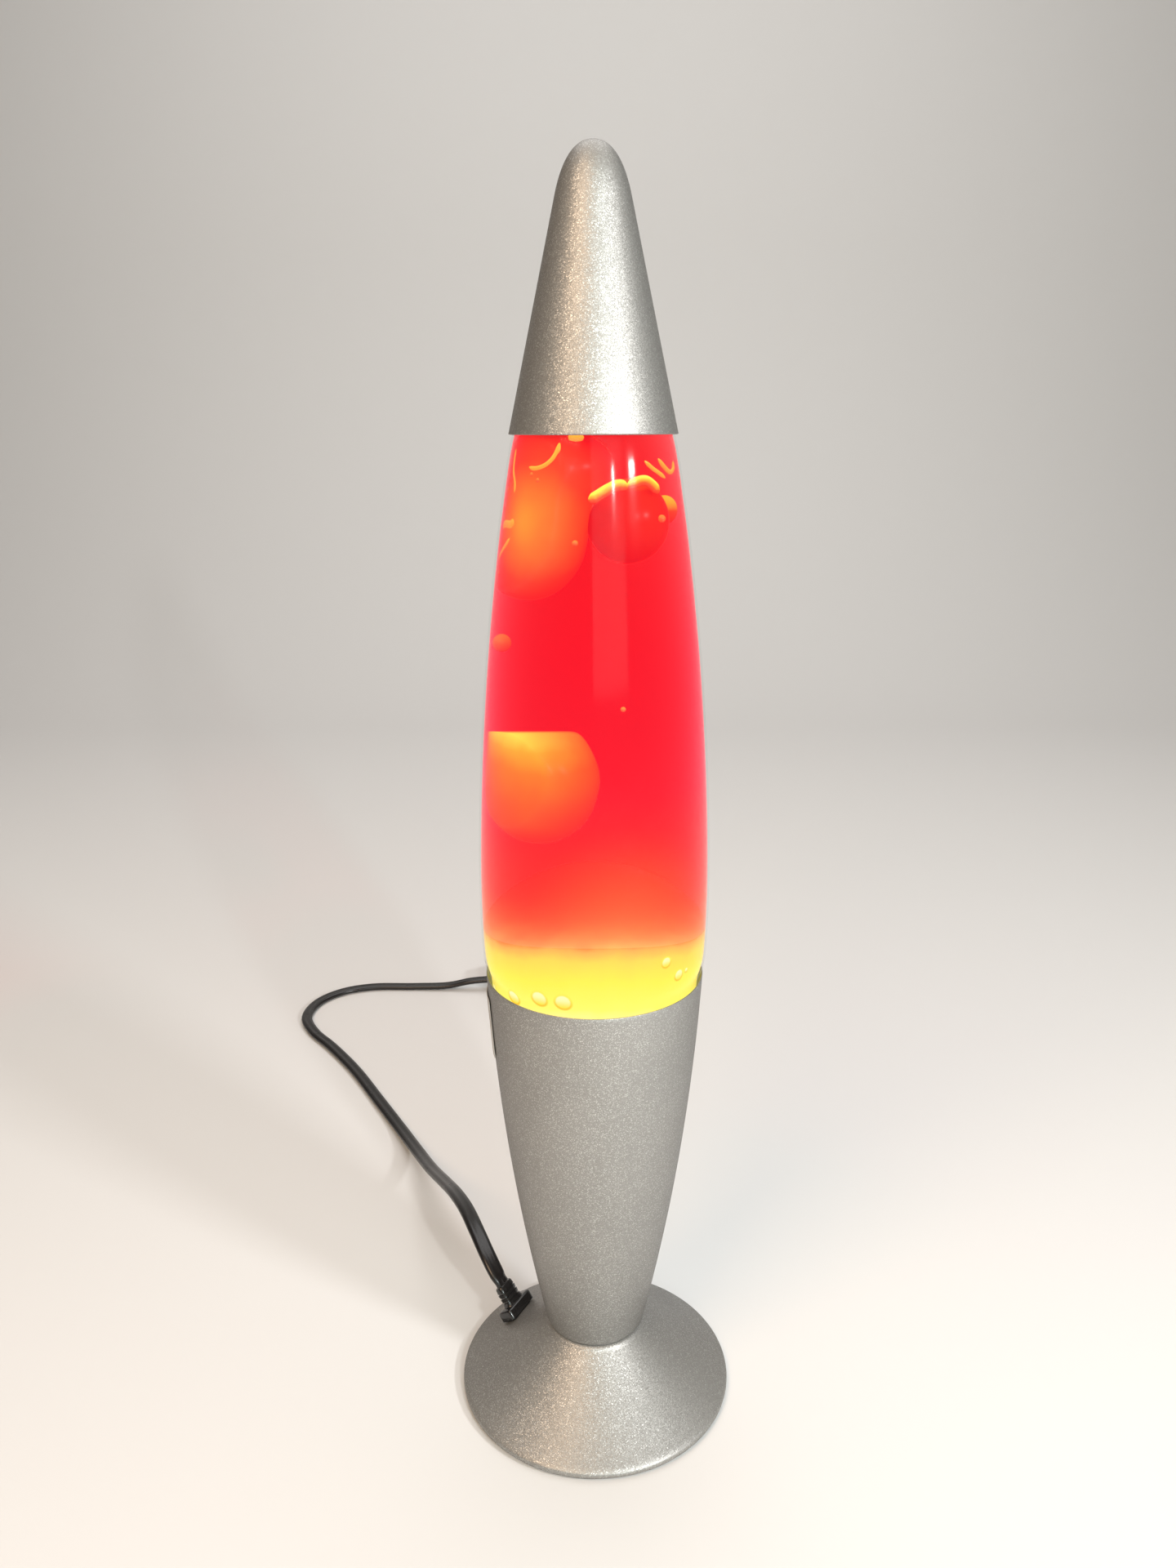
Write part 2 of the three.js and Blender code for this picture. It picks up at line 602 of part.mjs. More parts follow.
// ---------------------------------------------------------------- wax and liquid
// A drop of wax: a ball stretched along each axis, with a flatter or fuller top.
function drop(centre, half, flatTop = 0, segments = 16) {
  const ball = new THREE.SphereGeometry(1, segments, Math.round(segments * 0.7)).rotateX(Math.PI / 2);
  const position = ball.attributes.position;
  for (let i = 0; i < position.count; i += 1) {
    const up = Math.max(position.getZ(i), 0);
    position.setZ(i, position.getZ(i) - flatTop * up * up);
  }
  return ball.scale(half.x, half.y, half.z).translate(centre.x, centre.y, centre.z);
}
const grown = (half) => point(half.x + GAP, half.y + GAP, half.z + GAP);

const poolTop = innerFloor + POOL_DEPTH;
const poolEdge = poolTop - 5; // where the pool's surface meets the glass
const poolMid = 22;
const poolDip = 2.4; // how far the surface has fallen at poolMid
const wallAt = (z) => bottleWall(z) - GAP;
const offTheWall = (p) => at(p.x - GAP, Math.max(p.y, innerFloor + GAP));
const poolWall = innerSide.filter((p) => p.y < poolEdge - 1).map(offTheWall);
const coilRoom = 0.8; // between the ring of wire and the wax round it
const grooveOut = COIL_RING_RADIUS + COIL_RING_TUBE + coilRoom;
const grooveIn = COIL_RING_RADIUS - COIL_RING_TUBE - coilRoom;
const grooveTop = innerFloor + GAP + 2 * COIL_RING_TUBE + coilRoom;
add('wax_pool', turned([
  at(0, innerFloor + GAP),
  at(grooveIn, innerFloor + GAP),
  at(grooveIn, grooveTop),
  at(grooveOut, grooveTop),
  at(grooveOut, innerFloor + GAP),
  ...poolWall,
  at(wallAt(poolEdge), poolEdge),
  at(poolMid, poolTop - poolDip),
  at(poolMid / 2, poolTop - poolDip / 5),
  at(0, poolTop),
], 32), wax('#ffd23c'));
const heatCoilCentre = at(COIL_RING_RADIUS, innerFloor + GAP + COIL_RING_TUBE);
add('heat_coil', turned(arc(heatCoilCentre, COIL_RING_TUBE, 0, 360, 8), 24), steel());

const blobCentre = point(-14, -6, shown(0.387));
const blobHalf = point(18.5, 16, 17);
const blobLean = 0.075; // how far the blob moves in towards the axis for each millimetre that it rises
const blobRise = 34;
add('wax_blob_rising', drop(blobCentre, blobHalf, 0.1), wax('#ff7a22'));

const massCentre = point(-11.6, 6, shown(0.845));
const massHalf = point(12.3, 12.3, 22);
add('wax_mass_upper', drop(massCentre, massHalf), wax('#ff4a26'));
const ballCentre = point(9.6, -8.8, shown(0.862));
const ballHalf = point(11.6, 11.6, 12.4);
add('wax_ball_upper', drop(ballCentre, ballHalf), wax('#ff3a2c'));
const sideCentre = point(19.5, 5.5, shown(0.872));
const sideHalf = point(4.2, 4.2, 5);
add('wax_drop_side', drop(sideCentre, sideHalf, 0, 14), wax('#ff5a30'));

// The liquid fills the bottle round the wax. Each wax piece has its own pocket, open at the top.
const liquidTop = capRim + LIQUID_TOP;
const liquidWall = innerSide.filter((p) => p.y > poolEdge + 2 && p.y < liquidTop - 1).map(offTheWall);
const liquidBody = turned([
  at(0, poolTop + GAP),
  at(poolMid / 2, poolTop - poolDip / 5 + GAP),
  at(poolMid, poolTop - poolDip + GAP),
  at(wallAt(poolEdge) - 0.1, poolEdge + GAP + 0.1),
  ...liquidWall,
  at(wallAt(liquidTop), liquidTop),
  at(0, liquidTop),
], 32);
const blobAt = (rise) => point(blobCentre.x + blobLean * rise, blobCentre.y, blobCentre.z + rise);
const cornersOf = (geometry) => {
  const position = geometry.attributes.position;
  return Array.from({ length: position.count }, (_, i) => new THREE.Vector3().fromBufferAttribute(position, i));
};
const blobWay = new ConvexGeometry([0, blobRise + 1].flatMap((rise) =>
  cornersOf(drop(blobAt(rise), grown(blobHalf), 0.1))));
const ventTop = (centre, radius) => new THREE.CylinderGeometry(radius, radius, liquidTop + 4 - centre.z, 12)
  .rotateX(Math.PI / 2)
  .translate(centre.x, centre.y, (liquidTop + 4 + centre.z) / 2);
const liquid = cut(liquidBody,
  blobWay,
  drop(massCentre, grown(massHalf)),
  drop(ballCentre, grown(ballHalf)),
  drop(sideCentre, grown(sideHalf), 0, 14),
  ventTop(blobAt(blobRise), 1.5),
  ventTop(massCentre, 6),
  ventTop(ballCentre, 4),
  ventTop(sideCentre, 1.5));
add('liquid', liquid, seeThrough('#e8102a', 0.2, 0.5));

// ---------------------------------------------------------------- the cap
const capSlopeTop = at(CAP_NOSE_RADIUS, capTip - CAP_NOSE_HEIGHT);
const capTaper = (CAP_RIM_RADIUS - CAP_NOSE_RADIUS) / (CAP_HEIGHT - CAP_NOSE_HEIGHT);
const capNose = (radius, tip) => new THREE.QuadraticBezierCurve(
  at(radius, capSlopeTop.y),
  at(radius - capTaper * (tip - capSlopeTop.y), tip),
  at(0, tip),
).getPoints(5).map((p) => at(Math.max(p.x, 0), p.y));
const capSteps = [0, 1 / 3, 2 / 3].map((share) => at(CAP_RIM_RADIUS, capRim).lerp(capSlopeTop, share));
add('top_cap', turned([
  ...capSteps,
  ...capNose(CAP_NOSE_RADIUS, capTip),
  ...capNose(CAP_NOSE_RADIUS - CAP_SHEET, capTip - CAP_SHEET).reverse(),
  ...capSteps.map((p) => at(p.x - CAP_SHEET, p.y)).reverse(),
  capSteps[0].clone(),
], 36), silverPaint());

// ---------------------------------------------------------------- leads inside the foot and the pipe
const innerEnd = glandSeat.clone().addScaledVector(glandAxis, -GLAND_TAIL - GAP);
const LEAD_CORE = 0.9;
const LEAD_APART = 1.25;
for (const [name, side] of [['live', 1], ['neutral', -1]]) {
  const aside = glandAcross.clone().multiplyScalar(-side * LEAD_APART);
  const beside = (back, z) => aside.clone().addScaledVector(outward, back).setZ(z);
  const start = innerEnd.clone().addScaledVector(aside, 1.3);
  const route = new THREE.CatmullRomCurve3([
    start,
    start.clone().addScaledVector(glandAxis, -2),
    start.clone().lerp(beside(0, (start.z + nippleLow) / 2), 0.45),
    beside(2.7, nippleLow - 3.4),
    beside(0, nippleLow + 1),
    point(side * LEAD_APART, 0, nippleHigh - 2),
    point(side * (LEAD_APART + 0.6), 0, nippleHigh + 0.9),
    point(side * (CORE_RADIUS - 1.2), 0, nippleHigh + 1.5),
    point(side * (CORE_RADIUS + 1), 0, coreLow - 0.6),
    point(side * (CORE_RADIUS + GAP + 0.7), 0, coreLow + CORE_HEIGHT / 2 - 1.7 - GAP),
  ], false, 'centripetal');
  add(`inner_lead_${name}`, new THREE.ExtrudeGeometry(new THREE.Shape(circle(LEAD_CORE, 6)), {
    extrudePath: route, steps: 30, bevelEnabled: false }), finish(side > 0 ? '#1c1c1c' : '#e8e4da', 0.5, 0));
}

// ---------------------------------------------------------------- the flat twin lead
// A curve whose section stays level: its wide side is always across the way it runs.
class LevelRoute extends THREE.CatmullRomCurve3 {
  computeFrenetFrames(segments) {
    const tangents = Array.from({ length: segments + 1 }, (_, i) => this.getTangentAt(i / segments));
    const normals = tangents.map((t) => point(0, 0, 1).cross(t).normalize());
    const binormals = tangents.map((t, i) => t.clone().cross(normals[i]));
    return { tangents, normals, binormals };
  }
}
function flatLead(points) {
  const route = new LevelRoute(points, false, 'centripetal');
  const steps = Math.round(route.getLength() / (2.2 * LEAD_WIDTH));
  return new THREE.ExtrudeGeometry(new THREE.Shape(roundedOutline(LEAD_WIDTH, LEAD_THICKNESS, 1.3, 1)),
    { extrudePath: route, steps, bevelEnabled: false });
}
const leadExit = glandSeat.clone().addScaledVector(glandAxis, GLAND_SLEEVE + GAP);
const onTable = (x, y, z = LEAD_Z) => point(x, y, z);

// The lead meets the coil at its +X side, where it runs straight along Y, just clear of the turns.
const coilInner = COIL_OUTER - (COIL_TURNS / 2) * LEAD_PITCH;
const coilSection = { inner: coilInner - LEAD_WIDTH / 2 - 0.2, outer: COIL_OUTER + LEAD_WIDTH / 2 + 0.2 };
const coilClear = 1.65; // from the turns to the end of the straight lead
const coilReach = Math.sqrt(coilSection.outer ** 2 - (COIL_OUTER - LEAD_WIDTH / 2) ** 2) + coilClear;
const coilSide = COIL_CENTRE.x + COIL_OUTER;
add('cord', flatLead([
  leadExit,
  leadExit.clone().addScaledVector(glandAxis, 4),
  onTable(-42.6, 27.2, 31.2),
  onTable(-47.6, 37.5, 34.2),
  onTable(-53.2, 51.5, 34.2),
  onTable(-59.6, 67.5, 30.4),
  onTable(-67, 86, 23.2),
  onTable(-76, 108, 14.5),
  onTable(-86, 132.5, 7),
  onTable(-97.6, 156.5, 3),
  onTable(-114.6, 186.5),
  onTable(-133.1, 217.4),
  onTable(-151.6, 243.2),
  onTable(-166, 261),
  onTable(-174, 279),
  onTable(-171, 298),
  onTable(-158.5, 312),
  onTable(-141, 318.5),
  onTable(-114, 319),
  onTable(-92, 318.5, 2.8),
  onTable(-78, 318, 6),
  onTable(SWITCH_CENTRE.x - SWITCH.long / 2 - GAP, SWITCH_CENTRE.y, SWITCH.tall / 2),
]), blackPlastic());
add('cord_to_coil', flatLead([
  onTable(SWITCH_CENTRE.x + SWITCH.long / 2 + GAP, SWITCH_CENTRE.y, SWITCH.tall / 2),
  onTable(4, 317.6, 5.6),
  onTable(17, 316.6, 2.6),
  onTable(33, 309.5),
  onTable(43.5, 297),
  onTable(coilSide, COIL_CENTRE.y + coilReach + 8),
  onTable(coilSide, COIL_CENTRE.y + coilReach),
]), blackPlastic());
add('cord_tail', flatLead([
  onTable(coilSide, COIL_CENTRE.y - coilReach, LEAD_Z + LAYER_PITCH),
  onTable(coilSide - 0.6, COIL_CENTRE.y - coilReach - 10, 3.4),
  onTable(42.6, 204),
  onTable(36.4, 195),
  onTable(27.6, 184.6),
  onTable(18.4, 173.4),
  onTable(12.2, 163, 3.4),
  onTable(PLUG_CENTRE_X, PLUG_BACK_Y + 8, PLUG.tall / 2 - 1),
  onTable(PLUG_CENTRE_X, PLUG_BACK_Y + GAP + 0.1, PLUG.tall / 2),
]), blackPlastic());

// The coil's outer shape, with a channel where the tie goes round it.
const coilLow = TABLE_CLEAR;
const coilHigh = LEAD_Z + LAYER_PITCH + LEAD_THICKNESS / 2 + 0.2;
const tieSlack = 0.5; // room for the coil's curve across the tie's width
const tieLow = coilLow - 0.1;
const tieHigh = coilHigh + 2;
const tieLeft = -coilSection.outer - tieSlack - TIE_THICKNESS;
const tieRight = -coilSection.inner + tieSlack + TIE_THICKNESS;
const tieFrame = (grow) => {
  const outline = (more) => [
    at(tieLeft - more, tieLow - more),
    at(tieRight + more, tieLow - more),
    at(tieRight + more, tieHigh + more),
    at(tieLeft - more, tieHigh + more),
  ];
  const shape = new THREE.Shape(outline(grow));
  shape.holes = [new THREE.Path(outline(-TIE_THICKNESS - grow))];
  const depth = TIE_WIDTH + 2 * grow;
  return new THREE.ExtrudeGeometry(shape, { depth, bevelEnabled: false, steps: 1 })
    .translate(0, 0, -depth / 2)
    .rotateX(Math.PI / 2)
    .translate(COIL_CENTRE.x, COIL_CENTRE.y, 0);
};
add('cord_coil', cut(
  ring(coilSection.inner, coilSection.outer, coilLow, coilHigh, 32).translate(COIL_CENTRE.x, COIL_CENTRE.y, 0),
  tieFrame(GAP),
), blackPlastic());
add('coil_tie', tieFrame(0), blackRubber());

// ---------------------------------------------------------------- the in-line switch
const inSwitch = new THREE.Group();
inSwitch.position.set(SWITCH_CENTRE.x, SWITCH_CENTRE.y, 0);
lamp.add(inSwitch);
const switchLow = TABLE_CLEAR;
const switchSplit = SWITCH.tall / 2;
const switchQuarter = [
  at(SWITCH.long / 2, 5),
  at(SWITCH.long / 2 - 10, SWITCH.wide / 2 - 1),
  at(SWITCH.long / 2 - 16, SWITCH.wide / 2),
];
const mirrored = (points, sx, sy) => points.map((p) => at(sx * p.x, sy * p.y));
const switchOutline = [
  ...switchQuarter,
  ...mirrored(switchQuarter, -1, 1).reverse(),
  ...mirrored(switchQuarter, -1, -1),
  ...mirrored(switchQuarter, 1, -1).reverse(),
];
const roomShare = (size) => 1 - (2 * SWITCH.wall) / size;
const switchRoom = mirrored(switchOutline, roomShare(SWITCH.long), roomShare(SWITCH.wide));
const leadWay = prism(
  roundedOutline(SWITCH.long + 4, LEAD_WIDTH + 2 * GAP, 1),
  switchSplit - LEAD_THICKNESS / 2 - GAP,
  switchSplit + LEAD_THICKNESS / 2 + GAP,
);
add('switch_lower', cut(
  prism(switchOutline, switchLow, switchSplit - GAP / 2),
  prism(switchRoom, switchLow + SWITCH.wall, switchSplit + 1),
  leadWay,
), blackPlastic(), inSwitch);
const rockerWindow = { long: ROCKER.long + 1.4, wide: ROCKER.wide + 2 * GAP };
add('switch_upper', cut(
  prism(switchOutline, switchSplit + GAP / 2, SWITCH.tall),
  prism(switchRoom, switchSplit - 1, SWITCH.tall - SWITCH.wall),
  prism(roundedOutline(rockerWindow.long, rockerWindow.wide, 0.8), SWITCH.tall - 4, SWITCH.tall + 2),
  leadWay,
), blackPlastic(), inSwitch);

const rockerPivot = SWITCH.tall - 1.8;
const pinRadius = 1;
const pinRoom = 0.12;
const pinDrop = 1.4; // the pin below the rocker's middle line
const rockerHalf = [
  at(2, 2 - ROCKER.deep),
  at(ROCKER.long / 4, -1.2),
  at(ROCKER.long / 2, 0.2),
  at(ROCKER.long / 2, 1.8),
  at(3, 1.2),
  at(0, 1),
];
const rockerProfile = new THREE.Shape([...rockerHalf, ...mirrored(rockerHalf.slice(0, -1), -1, 1).reverse()]);
rockerProfile.holes = [new THREE.Path(circle(pinRadius + pinRoom, 16).map((p) => at(p.x, p.y - pinDrop)))];
const rocker = new THREE.ExtrudeGeometry(rockerProfile, { depth: ROCKER.wide, bevelEnabled: false, steps: 1 })
  .translate(0, pinDrop, -ROCKER.wide / 2)
  .rotateX(Math.PI / 2)
  .rotateY(ROCKER.tilt)
  .translate(0, 0, rockerPivot - pinDrop);
add('switch_rocker', rocker, finish('#1a191a', 0.22, 0), inSwitch);
add('rocker_pin', new THREE.CylinderGeometry(pinRadius, pinRadius, ROCKER.wide + 1.6, 16)
  .translate(0, 0, rockerPivot - pinDrop), steel(), inSwitch);
const STRIP = { long: 9, wide: 5, thick: 0.8, out: 9 };
const stripLow = switchLow + SWITCH.wall + GAP;
for (const [name, side] of [['left', -1], ['right', 1]]) {
  const strip = prism(roundedOutline(STRIP.long, STRIP.wide, 0.6), stripLow, stripLow + STRIP.thick)
    .translate(side * STRIP.out, 0, 0);
  add(`switch_contact_${name}`, strip, brass(), inSwitch);
}

// ---------------------------------------------------------------- the plug
const plugMid = PLUG.tall / 2 + TABLE_CLEAR;
const plugSection = (wide, tall, y) => roundedOutline(wide, tall, Math.min(wide, tall) * 0.3, 2)
  .map((p) => point(PLUG_CENTRE_X + p.x, y, plugMid + p.y));
const plugFace = PLUG_BACK_Y - PLUG.long;
add('plug_body', lofted([
  plugSection(LEAD_WIDTH + 3, LEAD_THICKNESS + 3.6, PLUG_BACK_Y),
  plugSection(LEAD_WIDTH + 5, LEAD_THICKNESS + 5, PLUG_BACK_Y - PLUG.tail),
  plugSection(PLUG.wide * 0.86, PLUG.tall * 0.9, PLUG_BACK_Y - PLUG.tail - 5),
  plugSection(PLUG.wide, PLUG.tall, plugFace + 5),
  plugSection(PLUG.wide, PLUG.tall, plugFace),
]), blackPlastic());
for (const [name, side] of [['wide', 1], ['narrow', -1]]) {
  const blade = new THREE.BoxGeometry(BLADE.thick, BLADE.long, BLADE[name])
    .translate(PLUG_CENTRE_X + (side * BLADE.apart) / 2, plugFace - GAP - BLADE.long / 2, plugMid);
  add(`plug_blade_${name}`, blade, brass());
}

export default lamp;
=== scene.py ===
# %% [markdown]
# # A lava lamp
# A tapered bottle of red liquid and orange wax stands in a silver cup on a flared foot, under a
# pointed silver cap. A small reflector bulb in the cup warms and lights the wax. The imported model
# gives every place and size, so this file only adds the looks: smooth skins, wax, light and finish.

import math

import bmesh
import bpy
import numpy as np
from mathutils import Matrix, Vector


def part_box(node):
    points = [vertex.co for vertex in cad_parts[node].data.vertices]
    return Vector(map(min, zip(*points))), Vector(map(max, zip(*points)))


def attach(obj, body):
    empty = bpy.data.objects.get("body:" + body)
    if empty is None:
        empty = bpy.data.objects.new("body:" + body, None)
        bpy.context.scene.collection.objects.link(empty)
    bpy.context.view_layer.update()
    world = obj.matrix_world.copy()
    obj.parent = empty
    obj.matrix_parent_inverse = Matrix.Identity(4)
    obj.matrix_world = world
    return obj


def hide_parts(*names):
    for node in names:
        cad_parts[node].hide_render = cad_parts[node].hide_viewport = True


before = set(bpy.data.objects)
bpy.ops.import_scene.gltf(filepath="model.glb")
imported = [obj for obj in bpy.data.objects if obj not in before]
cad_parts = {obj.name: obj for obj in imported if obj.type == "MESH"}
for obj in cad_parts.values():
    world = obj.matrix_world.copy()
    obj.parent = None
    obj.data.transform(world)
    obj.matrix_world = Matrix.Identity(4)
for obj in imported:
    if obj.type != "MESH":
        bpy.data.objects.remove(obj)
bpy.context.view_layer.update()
MM = 0.001

# %% [markdown]
# The heights that every piece hangs on are read from the frame, in millimetres, so a piece can't
# drift away from the part that it stands for.


# %% Heights from the frame
def span(node):
    """The lowest and highest corner of a node, in millimetres."""
    low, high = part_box(node)
    return np.array(low) / MM, np.array(high) / MM


foot_low, foot_top = (corner[2] for corner in span("base_foot"))
foot_radius = span("base_foot")[1][0]
cup_bottom, cup_rim = (corner[2] for corner in span("base_cup"))
cup_radius = span("base_cup")[1][0]
bottle_bottom, mouth_top = (corner[2] for corner in span("glass_bottle"))
cap_rim, cap_tip = (corner[2] for corner in span("top_cap"))
cap_radius = span("top_cap")[1][0]
liquid_top = span("liquid")[1][2]
pool_top = span("wax_pool")[1][2]
shown_height = cap_rim - cup_rim
print("cup rim", round(cup_rim, 1), "cap rim", round(cap_rim, 1), "tip", round(cap_tip, 1))

# %% [markdown]
# ## Helpers for surfaces
# Most of this lamp is turned or lofted, so one function takes a grid of points, closes it into a
# mesh, and makes its faces point outwards. Profiles are written in millimetres and scaled once.


# %% Grids to meshes
def piece_from_grid(name, grid, body, around=True, along=False, crease=35):
    """A mesh over a grid of points in millimetres, closed around and along as asked; rows that shrink to
    one point become poles, open end rows are capped flat."""
    rows, columns = grid.shape[:2]
    index = np.arange(rows * columns).reshape(rows, columns)
    right = np.roll(index, -1, axis=1) if around else index[:, 1:]
    left = index if around else index[:, :-1]
    if along:
        left_up, right_up = np.roll(left, -1, axis=0), np.roll(right, -1, axis=0)
    else:
        left_up, right_up = left[1:], right[1:]
        left, right = left[:-1], right[:-1]
    quads = np.stack([left, right, right_up, left_up], axis=-1).reshape(-1, 4)
    mesh = bpy.data.meshes.new(name)
    mesh.from_pydata((grid.reshape(-1, 3) * MM).tolist(), [], quads.tolist())
    work = bmesh.new()
    work.from_mesh(mesh)
    bmesh.ops.remove_doubles(work, verts=work.verts, dist=2e-6)
    if around and not along:
        open_edges = [edge for edge in work.edges if edge.is_boundary]
        if open_edges:
            bmesh.ops.holes_fill(work, edges=open_edges, sides=0)
    bmesh.ops.recalc_face_normals(work, faces=work.faces)
    work.to_mesh(mesh)
    work.free()
    mesh.polygons.foreach_set("use_smooth", np.ones(len(mesh.polygons), dtype=bool))
    mesh.set_sharp_from_angle(angle=math.radians(crease))
    made = bpy.data.objects.new(name, mesh)
    bpy.context.scene.collection.objects.link(made)
    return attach(made, body)


def turned_grid(profile, segments=128):
    """Rows of (radius, height) carried round the Z axis; a height may also be a row of its own."""
    angle = np.linspace(0, 2 * np.pi, segments, endpoint=False)
    rows = [
        np.column_stack([radius * np.cos(angle), radius * np.sin(angle), height + 0 * angle])
        for radius, height in profile
    ]
    return np.array(rows)


def turned(name, profile, body, segments=128, closed=True):
    """A closed profile of (radius, height) rows carried round the Z axis."""
    return piece_from_grid(name, turned_grid(profile, segments), body, along=closed)


def bezier(points, count):
    """Points along a quadratic curve: each is a weighted mean of start, control and end."""
    t = np.linspace(0, 1, count)[:, None]
    start, control, end = np.asarray(points, float)
    return (1 - t) ** 2 * start + 2 * t * (1 - t) * control + t**2 * end


def smooth_line(points, per_span, centripetal=0.5):
    """A Catmull-Rom curve through points of any dimension, with knots spaced by the root of the gaps."""
    p = np.asarray(points, float)
    p = np.vstack([2 * p[0] - p[1], p, 2 * p[-1] - p[-2]])
    line = []
    for a, b, c, d in zip(p[:-3], p[1:-2], p[2:-1], p[3:]):
        k = np.cumsum([0] + [max(np.linalg.norm(v), 1e-6) ** centripetal for v in (b - a, c - b, d - c)])
        t = np.linspace(k[1], k[2], per_span, endpoint=False)[:, None]
        one = (k[1] - t) / (k[1] - k[0]) * a + (t - k[0]) / (k[1] - k[0]) * b
        two = (k[2] - t) / (k[2] - k[1]) * b + (t - k[1]) / (k[2] - k[1]) * c
        three = (k[3] - t) / (k[3] - k[2]) * c + (t - k[2]) / (k[3] - k[2]) * d
        first = (k[2] - t) / (k[2] - k[0]) * one + (t - k[0]) / (k[2] - k[0]) * two
        second = (k[3] - t) / (k[3] - k[1]) * two + (t - k[1]) / (k[3] - k[1]) * three
        line.append((k[2] - t) / (k[2] - k[1]) * first + (t - k[1]) / (k[2] - k[1]) * second)
    return np.vstack(line + [p[-2:-1]])


def arc(centre, radius, start, end, count):
    """Points on a circle in (radius, height), from one angle in degrees to another."""
    angle = np.radians(np.linspace(start, end, count))
    return np.column_stack([centre[0] + radius * np.cos(angle), centre[1] + radius * np.sin(angle)])


def moved_in(line, distance):
    """An open (radius, height) line that runs upwards, moved towards the axis by a wall's thickness,
    which is one number or one for each row."""
    along = np.gradient(line, axis=0)
    along /= np.linalg.norm(along, axis=1)[:, None]
    inwards = np.column_stack([-along[:, 1], along[:, 0]])
    return line + np.reshape(distance, (-1, 1)) * inwards


# %% [markdown]
# ## Camera
# The lamp is seen from a little above its cap's rim and looked down on by seventeen degrees. A
# 36 mm sensor on the long side with a short lens gives the strong taper of a close view.

# %% Camera
camera = bpy.data.objects.new("camera", bpy.data.cameras.new("camera"))
bpy.context.scene.collection.objects.link(camera)
bpy.context.scene.camera = camera
camera.data.sensor_width = 36
camera.data.lens = 27.04
camera.data.clip_start = 0.01
camera.location = (-0.0016, -0.3655, 0.3479)
camera.rotation_euler = (math.radians(90 - 17.1), math.radians(0.19), 0)
print("camera at", tuple(round(v, 3) for v in camera.location))

# %% [markdown]
# ## The lead
# A flat twin lead leaves the back left of the foot, rises a little in its own stiffness, comes down
# to the table and runs behind the lamp. There it passes through an in-line switch, and the rest of
# its 1.8 m is wound in two flat layers of a tied coil beside the plug. The route repeats the points
# of the CAD part, and the section is carried along it with its wide side level. All of it is in
# millimetres, and it starts where the strain relief's sleeve ends.

# %% The lead's route
LEAD_WIDE, LEAD_THICK = 6.4, 3.2
LEAD_Z = 1.8
SWITCH_X, SWITCH_Y, SWITCH_LONG, SWITCH_MID = -36, 318, 58, 7.25
COIL_X, COIL_Y, COIL_OUTER, COIL_PITCH, LAYER = 2, 250, 44.8, 6.7, 3.4
TURNS = 5
gland_seat = np.array([-29.912, 16.581, 13.795])
gland_axis = np.array([-0.5252, 0.2911, 0.7996])
SLEEVE_LONG = 12.3
EXIT = gland_seat + gland_axis * SLEEVE_LONG
visible = [
    EXIT,
    EXIT + gland_axis * 4,
    (-42.6, 27.2, 31.2),
    (-47.6, 37.5, 34.2),
    (-53.2, 51.5, 34.2),
    (-59.6, 67.5, 30.4),
    (-67, 86, 23.2),
    (-76, 108, 14.5),
    (-86, 132.5, 7),
    (-97.6, 156.5, 3),
    (-114.6, 186.5, LEAD_Z),
    (-133.1, 217.4, LEAD_Z),
    (-151.6, 243.2, LEAD_Z),
    (-166, 261, LEAD_Z),
    (-174, 279, LEAD_Z),
    (-171, 298, LEAD_Z),
    (-158.5, 312, LEAD_Z),
    (-141, 318.5, LEAD_Z),
    (-114, 319, LEAD_Z),
    (-92, 318.5, 2.8),
    (-78, 318, 6),
    (SWITCH_X - SWITCH_LONG / 2 - 0.3, SWITCH_Y, SWITCH_MID),
]
to_coil = [
    (SWITCH_X + SWITCH_LONG / 2 + 0.3, SWITCH_Y, SWITCH_MID),
    (4, 317.6, 5.6),
    (17, 316.6, 2.6),
    (33, 309.5, LEAD_Z),
    (43.5, 297, LEAD_Z),
    (46.8, 284, LEAD_Z),
    (46.8, 276, LEAD_Z),
]
tail = [
    (46.8, 224, LEAD_Z + LAYER),
    (46.2, 214, 3.4),
    (42.6, 204, LEAD_Z),
    (36.4, 195, LEAD_Z),
    (27.6, 184.6, LEAD_Z),
    (18.4, 173.4, LEAD_Z),
    (12.2, 163, 3.4),
    (8.7, 154, 7),
    (8.7, 146.4, 8),
]


def coil_turns():
    """A flat spiral in, a step up by one layer, and the same spiral out: radius falls and rises
    evenly with the angle, and the height steps up over a tenth of a turn at the middle."""
    turn = np.linspace(0, TURNS, TURNS * 36 + 1)
    inwards = np.minimum(turn, TURNS - turn)
    radius = COIL_OUTER - COIL_PITCH * inwards
    step = np.clip((turn - TURNS / 2) / 0.16 + 0.5, 0, 1)
    height = LEAD_Z + LAYER * step * step * (3 - 2 * step)
    angle = -2 * np.pi * turn
    return np.column_stack([COIL_X + radius * np.cos(angle), COIL_Y + radius * np.sin(angle), height])


route = np.vstack(
    [
        smooth_line(visible, 6),
        smooth_line(to_coil, 6),
        [(46.8, 263, LEAD_Z)],
        coil_turns(),
        [(46.8, 236, LEAD_Z + LAYER)],
        smooth_line(tail, 6),
    ]
)
lead_length = np.linalg.norm(np.diff(route, axis=0), axis=1).sum() * MM
print("lead", round(lead_length, 3), "m")


